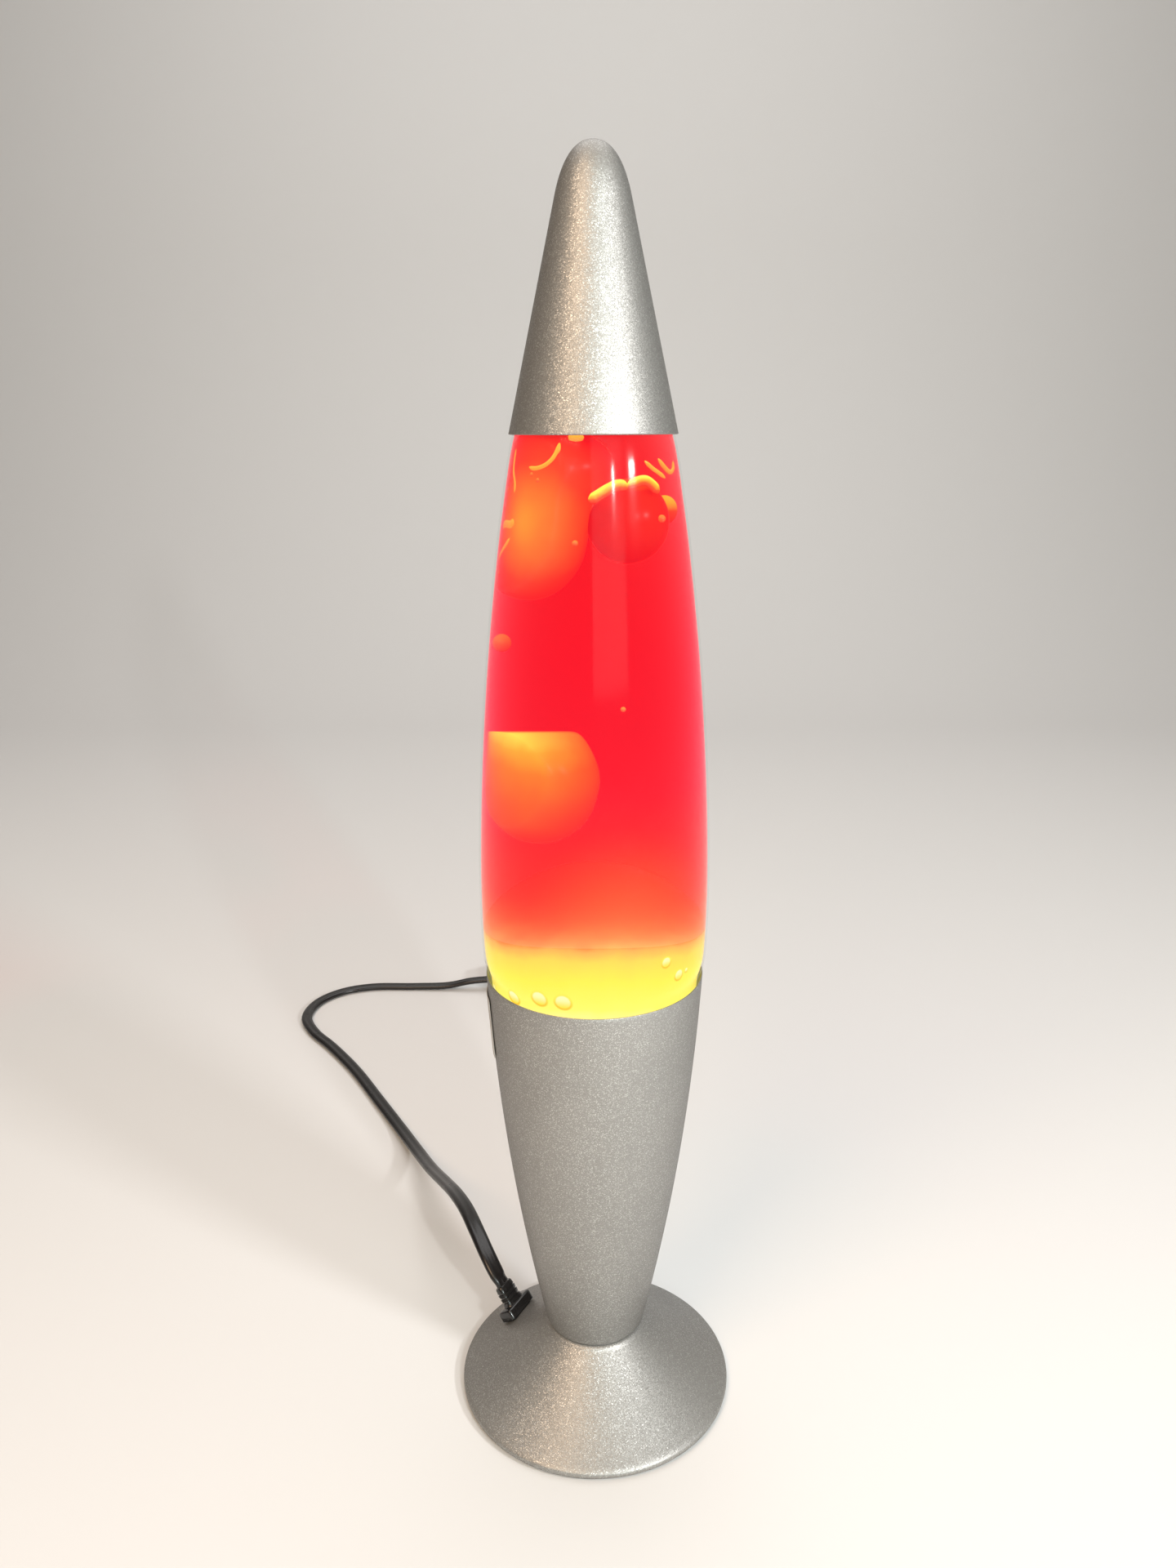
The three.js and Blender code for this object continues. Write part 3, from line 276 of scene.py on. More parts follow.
# %% The lead's skin
def twin_section(count=28):
    """Two round cores side by side in one skin: the mean of a flat oval and a squarer one, where the
    power of the sine sets how square it is, thinned in the middle by three tenths of a bell curve."""
    t = np.linspace(0, 2 * np.pi, count, endpoint=False)
    across = LEAD_WIDE / 2 * np.sign(np.cos(t)) * np.abs(np.cos(t)) ** 0.8
    pinch = 1 - 0.3 * np.exp(-((across / 0.75) ** 2))
    oval = LEAD_THICK / 2 * np.sin(t) * pinch
    squarer = np.abs(np.sin(t)) ** 0.72 * np.sign(np.sin(t)) * LEAD_THICK / 2
    return across, 0.5 * oval + 0.5 * squarer * pinch


def along_route(name, path, across, up, body):
    """A section carried along a path, its wide side kept level: across runs along Z x tangent."""
    tangent = np.gradient(path, axis=0)
    tangent /= np.linalg.norm(tangent, axis=1)[:, None]
    side = np.cross([0, 0, 1], tangent)
    side /= np.linalg.norm(side, axis=1)[:, None]
    lift = np.cross(tangent, side)
    grid = path[:, None] + across[None, :, None] * side[:, None] + up[None, :, None] * lift[:, None]
    return piece_from_grid(name, grid, body, crease=60)


lead = along_route("lead", route, *twin_section(), "root")
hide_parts("cord", "cord_to_coil", "cord_tail", "cord_coil")
print("lead faces", len(lead.data.polygons))

# %% [markdown]
# ## Finishes
# A small class wraps a socket so that shader maths reads as an expression. Each expression on
# values adds Math nodes; colours and directions go through Mix and Vector Math.


# %% Shader helper
class Link:
    """One output socket of a finish. Arithmetic on it adds a Math node and gives its output."""

    def __init__(self, finish, socket):
        self.finish, self.socket = finish, socket

    def math(self, operation, *others):
        """The output of a Math node fed with the values."""
        return self.finish.node("ShaderNodeMath", {"operation": operation}, *others)

    def __add__(self, other):
        return self.math("ADD", self, other)

    def __sub__(self, other):
        return self.math("SUBTRACT", self, other)

    def __mul__(self, other):
        return self.math("MULTIPLY", self, other)

    def __truediv__(self, other):
        return self.math("DIVIDE", self, other)

    def __pow__(self, other):
        return self.math("POWER", self, other)

    def __rsub__(self, other):
        return self.math("SUBTRACT", other, self)

    def __rtruediv__(self, other):
        return self.math("DIVIDE", other, self)

    __radd__, __rmul__ = __add__, __mul__

    def clipped(self):
        """The value held between 0 and 1."""
        return self.finish.node("ShaderNodeClamp", {}, self, 0, 1)

    def ramp(self, *stops):
        """A colour for the value: stops are (place, (red, green, blue))."""
        return self.finish.node("ShaderNodeValToRGB", {"stops": stops}, self)

    def rise(self, low, high):
        """0 below low, 1 above high, and an even S curve between."""
        return self.finish.node(
            "ShaderNodeMapRange", {"interpolation_type": "SMOOTHSTEP"}, self, low, high, 0, 1
        )


class Finish:
    """A material with one Principled shader, and one method that makes any node."""

    def __init__(self, name, **sockets):
        self.material = bpy.data.materials.new(name)
        self.material.use_nodes = True
        self.tree = self.material.node_tree
        self.shader = self.tree.nodes["Principled BSDF"]
        self.output = self.tree.nodes["Material Output"]
        self.object_place = self.node("ShaderNodeTexCoord", {}, out="Object")
        self.set(**sockets)

    def node(self, kind, settings, *values, out=0, **named):
        """A node of a kind, with its settings made first, then its inputs in order or by name."""
        made = self.tree.nodes.new(kind)
        for key, value in settings.items():
            if key == "stops":
                ramp = made.color_ramp
                while len(ramp.elements) < len(value):
                    ramp.elements.new(0.5)
                for element, (place, colour) in zip(ramp.elements, value):
                    element.position = place
                    element.color = (*colour, 1)
            else:
                setattr(made, key, value)
        usable = [s for s in made.inputs if s.enabled]
        for socket, value in zip(usable, values):
            self.feed(socket, value)
        for key, value in named.items():
            self.feed(next(s for s in usable if s.name == key.replace("_", " ")), value)
        outputs = [s for s in made.outputs if s.enabled]
        socket = outputs[out] if isinstance(out, int) else made.outputs[out]
        return Link(self, socket)

    def feed(self, socket, value):
        """Links a value to a socket, or sets it there when it is a plain number or colour."""
        if isinstance(value, Link):
            self.tree.links.new(value.socket, socket)
        elif socket.type == "RGBA" and len(value) == 3:
            socket.default_value = (*value, 1)
        else:
            socket.default_value = value

    def set(self, **sockets):
        """Feeds the shader's sockets by name, with an underscore for each space."""
        for key, value in sockets.items():
            self.feed(self.shader.inputs[key.replace("_", " ")], value)
        return self

    def noise(self, scale, detail=3, rough=0.5):
        """Soft noise from 0 to 1 over the piece's own place; scale is in features for each metre."""
        return self.node(
            "ShaderNodeTexNoise", {}, self.object_place, Scale=scale, Detail=detail, Roughness=rough
        )

    def cells(self, scale, out="Color"):
        """Small cells packed side by side, each with a random colour."""
        return self.node("ShaderNodeTexVoronoi", {}, self.object_place, Scale=scale, out=out)

    def part(self, axis):
        """One coordinate of the piece's place, in metres."""
        return self.node("ShaderNodeSeparateXYZ", {}, self.object_place, out="XYZ"[axis])

    def blend(self, share, first, second):
        """A colour between two colours, by share."""
        return self.node("ShaderNodeMix", {"data_type": "RGBA"}, share, first, second)

    def vector(self, operation, *values):
        """The vector that comes out of a Vector Math node."""
        return self.node("ShaderNodeVectorMath", {"operation": operation}, *values)

    def far_from(self, spot):
        """The distance in metres from a spot that is given in millimetres."""
        away = self.vector("SUBTRACT", self.object_place, tuple(float(v) * MM for v in spot))
        return self.node("ShaderNodeVectorMath", {"operation": "LENGTH"}, away, out="Value")

    def bump(self, height, distance, strength=1.0):
        """A normal bent as if the surface stood up by height times distance, in metres."""
        return self.node("ShaderNodeBump", {}, Strength=strength, Distance=distance, Height=height)


def dress(finish, *names):
    """Gives a finish to CAD nodes or made pieces, by name or object."""
    for name in names:
        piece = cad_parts.get(name) if isinstance(name, str) else name
        piece.data.materials.clear()
        piece.data.materials.append(finish.material)


# %% [markdown]
# ### Silver flake paint
# Cap, cup and foot are sprayed with a satin silver paint full of small metal flakes. Each flake lies
# at its own slight angle, so it flashes or stays dark. Two sets of cells, about a quarter and an
# eighth of a millimetre across, give each flake a random colour, which tilts the normal and lightens
# the paint. Seen edge on, the paint is painted darker: a painted shade along the outline of each
# piece.


# %% Silver flake paint
def flake_paint(name):
    """Satin silver: normal = surface + tilt by cell, and colour = grey + flash - painted shade when edge
    on.
    """
    paint = Finish(name, Metallic=0.65, Coat_Weight=0.1, Coat_Roughness=0.3)
    coarse = paint.cells(3900)
    fine = paint.cells(7200)
    tilt = paint.vector("MULTIPLY", paint.vector("SUBTRACT", coarse, (0.5,) * 3), (0.2,) * 3)
    tilt_fine = paint.vector("MULTIPLY", paint.vector("SUBTRACT", fine, (0.5,) * 3), (0.18,) * 3)
    surface = paint.node("ShaderNodeNewGeometry", {}, out="Normal")
    tilted = paint.vector("ADD", surface, paint.vector("ADD", tilt, tilt_fine))
    paint.set(Normal=paint.vector("NORMALIZE", tilted))
    spark = paint.node("ShaderNodeSeparateColor", {}, coarse, out="Red").rise(0.8, 1.0)
    speck = paint.node("ShaderNodeSeparateColor", {}, fine, out="Green").rise(0.35, 1.0)
    cloud = paint.noise(38, 2)
    # painted shade: the base colour is darkened where the surface is seen edge on
    painted_edge_shade = paint.node("ShaderNodeLayerWeight", {}, out="Facing", Blend=0.5) ** 2
    base = paint.blend(speck, (0.31, 0.302, 0.285), (0.42, 0.412, 0.395))
    base = paint.blend(spark * 0.45, base, (0.9, 0.9, 0.87))
    base = paint.blend(cloud.rise(0.3, 0.8) * 0.14, base, (0.2, 0.2, 0.19))
    base = paint.blend(painted_edge_shade * 0.75, base, (0.08, 0.072, 0.064))
    paint.set(Base_Color=base, Roughness=0.42 + 0.14 * cloud - 0.1 * spark)
    return paint


silver = flake_paint("silver_flake_paint")
print("paint", silver.material.name, len(silver.tree.nodes), "nodes")

# %% [markdown]
# ## Foot
# The foot is spun from sheet: a rolled bead stands on the table, and a nearly straight cone, a
# touch hollow, runs up to a small flat neck. Its wall is a closed profile carried round the axis.

# %% Foot
BEAD = 1.6
FOOT_SHEET = 1.0
PIPE_HOLE = 5.3
NECK_FLAT = 16.6
bead_at = (foot_radius - BEAD, foot_low + BEAD)
slope_start = np.array([bead_at[0] + BEAD * 0.6, bead_at[1] + BEAD * 0.8])
slope_end = np.array([18.6, foot_top - 1.2])
slope = bezier([slope_start, (slope_start + slope_end) / 2 - 1.2, slope_end], 40)
shoulder = bezier([slope_end, (17.9, foot_top - 0.1), (NECK_FLAT, foot_top)], 8)[1:]
foot_outside = np.vstack([arc(bead_at, BEAD, -90, 40, 12), slope[1:], shoulder])
foot_flat = [
    (PIPE_HOLE, foot_top),
    (PIPE_HOLE, foot_top - FOOT_SHEET),
    (NECK_FLAT, foot_top - FOOT_SHEET),
]
foot_inside = np.vstack([moved_in(slope, FOOT_SHEET)[::-1][1:], [(bead_at[0] - BEAD * 0.8, bead_at[1])]])
foot = turned("foot_skin", np.vstack([foot_outside, foot_flat, foot_inside]), "root", 160)
print("foot turned,", len(foot.data.polygons), "faces")

# %% [markdown]
# The lead leaves through an oval slot in the slope. A round cutter is squashed to the slot's half
# width and half height, stood square to the slope and taken away from the wall, as a punch does it.

# %% Slot for the lead
gland_side = np.cross([0, 0, 1], gland_axis)
gland_side /= np.linalg.norm(gland_side)
gland_up = np.cross(gland_axis, gland_side)


def slotted(piece, half_wide, half_tall, depth):
    """Cuts the strain relief's oval slot through a piece, square to its face: each point (x, y, z) of
    a round cutter of radius 1 goes to seat + x half_wide side + y half_tall up + z axis."""
    cutter_mesh = bpy.data.meshes.new("cutter")
    work = bmesh.new()
    bmesh.ops.create_cone(work, cap_ends=True, segments=48, radius1=1, radius2=1, depth=depth * MM)
    work.to_mesh(cutter_mesh)
    work.free()
    points = np.empty(3 * len(cutter_mesh.vertices))
    cutter_mesh.vertices.foreach_get("co", points)
    ways = np.array([half_wide * MM * gland_side, half_tall * MM * gland_up, gland_axis])
    points = gland_seat * MM + points.reshape(-1, 3) @ ways
    cutter_mesh.vertices.foreach_set("co", points.ravel())
    cutter = bpy.data.objects.new("cutter", cutter_mesh)
    bpy.context.scene.collection.objects.link(cutter)
    cut = piece.modifiers.new("hole", "BOOLEAN")
    cut.object = cutter
    cut.operation = "DIFFERENCE"
    cut.solver = "EXACT"
    bpy.context.view_layer.update()
    shape = bpy.data.meshes.new_from_object(piece.evaluated_get(bpy.context.evaluated_depsgraph_get()))
    piece.modifiers.clear()
    piece.data = shape
    bpy.data.objects.remove(cutter)
    piece.data.set_sharp_from_angle(angle=math.radians(35))


slotted(foot, 6.2, 3.3, 12)
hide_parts("base_foot")
dress(silver, foot)
print("foot", foot.name, len(foot.data.polygons), "faces")

# %% [markdown]
# ### Strain relief
# A glossy moulded block sits on the slope, with its long side along the foot's edge. Its tail goes
# through the slot, and a short ribbed sleeve takes the lead. Each row of the loft is a rounded
# oblong: its place along the lead, a half width, a half height and how square its corners are.


# %% Strain relief
def squared(wave, square):
    """One side of a rounded oblong: sign(wave) |wave|^(2 / square), an oval for 2, squarer above."""
    return (np.sign(wave) * np.abs(wave) ** (2 / square))[:, None]


relief_rows = [
    (-8.2, 5.0, 2.3, 3),
    (-7.7, 5.6, 2.8, 3),
    (-0.1, 5.6, 2.8, 3),
    (0.1, 6.9, 3.3, 4),
    (0.4, 7.4, 3.75, 6),
    (3.4, 7.4, 3.75, 6),
    (3.9, 7.2, 3.5, 6),
    (4.15, 6.8, 3.1, 5),
    (4.2, 4.8, 2.7, 3),
    (4.6, 4.5, 2.6, 3),
]
for rib in (6.2, 8.0, 9.8):
    relief_rows += [(rib - 0.5, 4.3, 2.45, 3), (rib - 0.4, 3.8, 2.0, 3)]
    relief_rows += [(rib + 0.1, 3.8, 2.0, 3), (rib + 0.2, 4.1, 2.35, 3)]
relief_rows += [(11.6, 3.9, 2.15, 3), (12.0, 3.6, 1.9, 3)]
turn = np.linspace(0, 2 * np.pi, 64, endpoint=False)
relief_grid = np.array(
    [
        gland_seat
        + along * gland_axis
        + half_wide * squared(np.cos(turn), square) * gland_side
        + half_tall * squared(np.sin(turn), square) * gland_up
        for along, half_wide, half_tall, square in relief_rows
    ]
)
relief = piece_from_grid("strain_relief_skin", relief_grid, "root", crease=50)
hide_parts("strain_relief")
print("strain relief", len(relief.data.polygons), "faces")

# %% [markdown]
# ## Cup
# The cup is a drawn shell that widens quickly above its base and then runs nearly straight to the
# rim. Its bottom edge is rounded, which leaves a thin dark line above the foot, and its rim is a
# small rounded lip. The sheet is half a millimetre, so the glass comes close up to it all round.

# %% Cup
CUP_BASE, CUP_SHEET = 18.2, 0.5
CUP_FLAT = CUP_BASE - 1.7
cup_side = bezier(
    [
        (CUP_BASE, cup_bottom + 1.6),
        (CUP_BASE + 0.81 * (cup_radius - CUP_BASE), cup_bottom + (cup_rim - cup_bottom) / 2),
        (cup_radius, cup_rim - 0.3),
    ],
    72,
)
cup_floor = cup_bottom + CUP_SHEET
corner = bezier([(CUP_FLAT, cup_bottom), (CUP_BASE - 0.15, cup_bottom), cup_side[0]], 8)[:-1]
lip = arc((cup_radius - CUP_SHEET / 2, cup_rim - CUP_SHEET / 2), CUP_SHEET / 2, 10, 170, 9)
cup = turned(
    "cup_skin",
    np.vstack(
        [
            [(PIPE_HOLE, cup_bottom)],
            corner,
            cup_side[:-1],
            lip,
            moved_in(cup_side, CUP_SHEET)[::-1][1:],
            [(CUP_FLAT, cup_floor), (PIPE_HOLE, cup_floor)],
        ]
    ),
    "root",
    160,
)
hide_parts("base_cup")
dress(silver, cup)
print("cup", len(cup.data.polygons), "faces")

# %% [markdown]
# ## Cap
# The cap is a tall cone with a soft nose. The sides are straight for four fifths of its height, and
# the nose rounds over on a curve that starts along the cone.

# %% Cap
CAP_SHEET = 0.8
HEM = CAP_SHEET / 2
NOSE_RADIUS, NOSE_HEIGHT = 11, 14.6
taper = (cap_radius - NOSE_RADIUS) / (cap_tip - cap_rim - NOSE_HEIGHT)


def cap_line(radius, tip):
    """A straight side up to the nose, then a quadratic curve over to the axis."""
    low = cap_tip - NOSE_HEIGHT
    heights = np.linspace(cap_rim + HEM, low, 24)
    side = np.column_stack([radius + taper * (low - heights), heights])
    nose = bezier([(radius, low), (radius - taper * (tip - low), tip), (0, tip)], 28)
    return np.vstack([side, nose[1:]])


cap_outside = cap_line(NOSE_RADIUS, cap_tip)
cap_inside = cap_line(NOSE_RADIUS - CAP_SHEET, cap_tip - CAP_SHEET)
hem = arc((cap_radius - HEM, cap_rim + HEM), HEM, 180, 360, 9)
cap = turned("cap_skin", np.vstack([cap_inside[::-1], hem, cap_outside]), "cap", 160, closed=False)
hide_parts("top_cap")
dress(silver, cap)
print("cap", len(cap.data.polygons), "faces")

# %% [markdown]
# ## Bottle
# The bottle is blown glass with a wall of 2.6 mm. It sits in the cup, swells just above the rim to
# its widest, and tapers all the way to a crown-cap mouth inside the cap. The line through a few
# knots gives the outside, and the same line moved in gives the inside. Full glass bends the light
# so that the liquid seems to reach the outside. This glass does not bend, so its wall is drawn
# thin wherever liquid or wax stands behind it, and full again in the neck and the mouth.


# %% Bottle's outside
GLASS, GLASS_SHOWN = 2.6, 0.5
BELLY = span("glass_bottle")[1][0]
NECK, MOUTH = 13, 9.6
CUP_PLAY, CAP_PLAY = 0.2, 0.3


def cup_wall(height):
    """The cup's inside radius at a height, less the play that the bottle needs."""
    return np.interp(height, cup_side[:, 1], cup_side[:, 0]) - CUP_SHEET - CUP_PLAY


def up(share):
    """The height at a share of the way from the cup's rim to the cap's rim."""
    return cup_rim + share * shown_height


seat = cup_wall(cup_rim - 0.5)
cap_seat = cap_radius - CAP_SHEET - CAP_PLAY
bottle_knots = [
    (cup_wall(bottle_bottom + 8) - 1.6, bottle_bottom + 5),
    (cup_wall(bottle_bottom + 16) - 0.6, bottle_bottom + 16),
    (cup_wall(cup_rim - 14) - 0.3, cup_rim - 14),
    (seat - 0.5, cup_rim - 4),
    (seat - 0.1, cup_rim),
    ((seat + BELLY) / 2 + 0.3, cup_rim + 6),
    (BELLY - 0.1, up(0.11)),
    (BELLY, up(0.17)),
    (BELLY - 0.25, up(0.25)),
    (BELLY - 1.0, up(0.36)),
    (BELLY - 2.3, up(0.48)),
    (BELLY - 4.2, up(0.61)),
    (BELLY - 6.7, up(0.74)),
    (BELLY - 9.8, up(0.87)),
    (cap_seat - 0.05, cap_rim),
    (cap_seat - 2.9, cap_rim + 7),
    (NECK + 3.4, cap_rim + 15.5),
    (NECK + 0.4, cap_rim + 20.5),
]
bottle_side = smooth_line(bottle_knots, 8)
low_radius = bottle_side[0, 0]
heel = bezier(
    [(low_radius - 5, bottle_bottom), (low_radius - 0.6, bottle_bottom + 0.2), bottle_side[0]], 8
)[:-1]
bottle_outside = np.vstack([heel, bottle_side, [(NECK, cap_rim + 22), (NECK, mouth_top)]])
print("bottle's line has", len(bottle_outside), "rows")

# %% [markdown]
# The wall's thickness goes from full to shown over nine millimetres at the liquid's top and at the
# bottle's foot. A radius read off the inner line tells every wax form how far out it may go.

# %% Bottle's wall
floor = bottle_bottom + GLASS
neck_share = np.clip((bottle_side[:, 1] - liquid_top) / 9, 0, 1)
foot_share = np.clip((bottle_bottom + 14 - bottle_side[:, 1]) / 9, 0, 1)
thickness = GLASS_SHOWN + (GLASS - GLASS_SHOWN) * np.maximum(neck_share, foot_share)
inner_side = moved_in(bottle_side, thickness)[:-3]
inner_heel = bezier(
    [(low_radius - 6.5, floor), (inner_side[0, 0] - 0.4, floor + 0.3), inner_side[0]], 8
)[:-1]
inner_line = np.vstack([inner_heel, inner_side])
bottle = turned(
    "bottle_skin",
    np.vstack(
        [
            [(0, bottle_bottom)],
            bottle_outside,
            [(MOUTH, mouth_top), (MOUTH, cap_rim + 21)],
            inner_line[::-1],
            [(0, floor)],
        ]
    ),
    "bottle",
    160,
    closed=False,
)
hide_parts("glass_bottle")


def inner_radius(height):
    """The bottle's inside radius at a height."""
    return np.interp(height, inner_line[:, 1], inner_line[:, 0])


print("bottle", len(bottle.data.polygons), "faces, belly", round(BELLY, 1))

# %% [markdown]
# ### Crown cap
# The mouth is closed by a pressed tinplate crown with a smooth top and a skirt of twenty-one flutes.
# The flutes are a cosine of the angle that grows down the skirt. Each row is a share of the radius,
# a share of the way down and the flutes' depth, and the same rows one wall further in close it.

# %% Crown cap
FLUTES, CROWN_SHEET = 21, 0.4
crown_low, crown_high = (corner[2] for corner in span("crown_cap"))
crown_radius = span("crown_cap")[1][0]
flutes = np.cos(FLUTES * np.linspace(0, 2 * np.pi, 12 * FLUTES, endpoint=False))
crown_side = [
    (0, 0, 0),
    (0.75, 0, 0),
    (0.83, 0.06, 0),
    (0.88, 0.2, 0.1),
    (0.93, 0.55, 0.35),
    (0.965, 0.9, 0.5),
    (0.968, 1.0, 0.5),
]
crown_rows = [
    (crown_radius * share + flute * flutes, crown_high - down * (crown_high - crown_low))
    for share, down, flute in crown_side
]
crown_rows += [
    (np.maximum(radius - CROWN_SHEET, 0), max(height - CROWN_SHEET * (down < 0.5), crown_low))
    for (radius, height), (_, down, _) in zip(crown_rows[::-1], crown_side[::-1])
]
crown = piece_from_grid("crown_skin", turned_grid(crown_rows, 12 * FLUTES), "bottle", crease=50)
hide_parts("crown_cap")
print("crown", len(crown.data.polygons), "faces")

# %% [markdown]
# The glass only has to show its gloss, and the liquid behind it must stay clean. So it is a
# see-through skin with a mirror layer that grows towards its edges, which is what thin clear glass
# does, and not a bending glass, which would move the wax from its place. The bare neck over the
# liquid gets more of the layer, so it still shows when the cap is off.

# %% Clear glass
clear = Finish("clear_glass", Base_Color=(0.55, 0.6, 0.58), Roughness=0.09, Metallic=1.0)
edge = clear.node("ShaderNodeLayerWeight", {}, out="Facing", Blend=0.5)
bare = clear.part(2).rise((liquid_top + 0.5) * MM, (liquid_top + 5) * MM)
gloss = 0.0045 + 0.4 * edge**7 + bare * (0.05 + 0.6 * edge**3)
mixed = clear.node(
    "ShaderNodeMixShader",
    {},
    gloss,
    clear.node("ShaderNodeBsdfTransparent", {}, (1, 1, 1)),
    Link(clear, clear.shader.outputs[0]),
)
clear.feed(clear.output.inputs["Surface"], mixed)
dress(clear, bottle)
print("glass over", bottle.name)

# %% [markdown]
# ## Liquid
# The liquid is a deep red dye in water. Light from the bulb fills it, so it glows, and red passes
# through it far better than green and blue. A skin with a little red light of its own and a body
# that absorbs green and blue give that: wax near the glass keeps its yellow, wax further in goes red.
# The liquid's underside is the wax pool's surface, a low dome whose edge rises along the glass at the
# front and the back, where the warm wax swells up. A small clearance keeps the two apart.


# %% Liquid's body
CLEAR = 0.2
SEGMENTS = 128
POOL_SIDE, POOL_SWELL = pool_top - 5.2, 7.0
around = np.linspace(0, 2 * np.pi, SEGMENTS, endpoint=False)
pool_edge = POOL_SIDE + POOL_SWELL * np.sin(around) ** 2
pool_crown = pool_edge.max() + 1.2


def pool_surface(share, lift=0.0):
    """The pool's surface at a share of the way out to the glass: a dome that ends on the wavy edge."""
    return pool_crown - (pool_crown - pool_edge) * share**2 + lift


def on_glass(height, gap=CLEAR):
    """The radius just inside the glass, for one height or a row of heights."""
    return inner_radius(height) - gap


liquid_line = inner_line[(inner_line[:, 1] > pool_crown + 2) & (inner_line[:, 1] < liquid_top - 0.5)]
shares = np.linspace(0, 1, 14)
liquid_rows = [(on_glass(pool_edge) * share, pool_surface(share, CLEAR)) for share in shares]
liquid_rows += [(radius - CLEAR, height) for radius, height in liquid_line]
liquid_rows += [(on_glass(liquid_top) - 0.4, liquid_top), (0, liquid_top)]
liquid = turned("liquid_body", liquid_rows, "bottle", SEGMENTS, closed=False)
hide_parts("liquid")
print("liquid", len(liquid.data.polygons), "faces")

# %% [markdown]
# The dye's painted glow is a ramp over height, orange just over the pool and deep red at the top. A
# round soft patch of painted orange glow stands at the front over the brightest wax. The skin is nearly
# clear when it is faced and closes towards the outline, where the eye looks through the most dye.

# %% Red dye
red = Finish("red_liquid", Base_Color=(0.5, 0.004, 0.008), Roughness=0.2, Specular_IOR_Level=0.1)
depth_glow = red.node("ShaderNodeMapRange", {}, red.part(2), pool_top * MM, liquid_top * MM, 0, 1)
glow = depth_glow.ramp(
    (0.0, (0.96, 0.3, 0.12)),
    (0.09, (0.95, 0.16, 0.13)),
    (0.31, (0.93, 0.06, 0.14)),
    (0.57, (0.9, 0.035, 0.1)),
    (0.7, (0.88, 0.03, 0.08)),
    (1.0, (0.85, 0.02, 0.04)),
)
GLOW_PLUME_SPOT, GLOW_PLUME_REACH = (9, -34, 200), 34
# painted orange glow round a spot at the front over the brightest wax
glow_plume = (red.far_from(GLOW_PLUME_SPOT) / (GLOW_PLUME_REACH * MM)).rise(0, 1)
glow = red.blend(1 - glow_plume, glow, (1.0, 0.5, 0.16))
skin_edge = red.node("ShaderNodeLayerWeight", {}, out="Facing", Blend=0.5) ** 3
red.set(
    Emission_Color=red.blend(skin_edge, glow, red.vector("MULTIPLY", glow, (0.6, 0.3, 0.4))),
    Emission_Strength=1.55,
    Alpha=0.14 + 0.8 * skin_edge,
)
dye = red.node("ShaderNodeVolumeAbsorption", {}, (0.985, 0.04, 0.06), 80)
red.feed(red.output.inputs["Volume"], dye)
dress(red, liquid)
print("dye", red.material.name, len(red.tree.nodes), "nodes")

# %% [markdown]
# ## Wax
# Molten wax has no edges: it is a smooth closed form that bulges where the flow pushes it and lies
# flat where it leans on the glass. Each form here is a star-shaped surface. Rays leave one centre,
# and the surface is where they leave a soft union of a few ellipsoids, held inside the bottle.


# %% Wax forms
def wax_form(
    name,
    centre,
    lobes,
    body,
    rows=48,
    columns=72,
    wall_gap=0.7,
    soft=10,
    high=None,
    lean=0,
    travel=(0, 0, 0),
    ease=0,
):
    """A closed surface round a centre. Along each ray the distances at which it leaves the lobes are
    joined by (sum of distance^soft)^(1 / soft). Points above the highest level, which may lean up
    towards the front, are brought down to it. Each pass of ease moves every point half way to its
    neighbours. Points past the wall anywhere along the form's travel are pulled in."""
    polar = np.linspace(0, np.pi, rows)[:, None]
    angle = np.linspace(0, 2 * np.pi, columns, endpoint=False)
    ray = np.stack(
        [np.sin(polar) * np.cos(angle), np.sin(polar) * np.sin(angle), np.cos(polar) + 0 * angle], axis=-1
    )
    centre = np.asarray(centre, float)
    total = 0
    for lobe_centre, half in lobes:
        half = np.asarray(half, float)
        start = (centre - lobe_centre) / half
        way = ray / half
        a = (way**2).sum(-1)
        b = (way * start).sum(-1)
        c = (start**2).sum() - 1
        inside = np.maximum(b * b - a * c, 0)
        total = total + np.maximum((-b + np.sqrt(inside)) / a, 0.01) ** soft
    points = centre + ray * (total ** (1 / soft))[..., None]
    if high is not None:
        points[..., 2] = np.minimum(points[..., 2], high - lean * points[..., 1])
    for _ in range(ease):
        beside = np.roll(points, 1, axis=1)[1:-1] + np.roll(points, -1, axis=1)[1:-1]
        points[1:-1] = points[1:-1] / 2 + (beside + points[:-2] + points[2:]) / 8
        points[0], points[-1] = points[1].mean(axis=0), points[-2].mean(axis=0)
    for way in np.linspace(0, 1, 5 if any(travel) else 1):
        moved = points + way * np.asarray(travel, float)
        out = np.hypot(moved[..., 0], moved[..., 1])
        over = np.maximum(0, out - inner_radius(moved[..., 2]) + wall_gap)
        points[..., :2] -= (over / np.maximum(out, 1e-6))[..., None] * moved[..., :2]
    return piece_from_grid(name, points, body, crease=80)


def middle(node):
    """The middle of a node's box, in millimetres."""
    low, high = span(node)
    return (low + high) / 2


# %% [markdown]
# ### Rising blob
# The blob has just let go of the pool and pushes up against the glass. Its top is still flat, and it
# leans up towards the front, so that from a little above it shows as one straight bright edge. It
# climbs with a slight drift to the right, and its wall side is shaped for the whole climb.

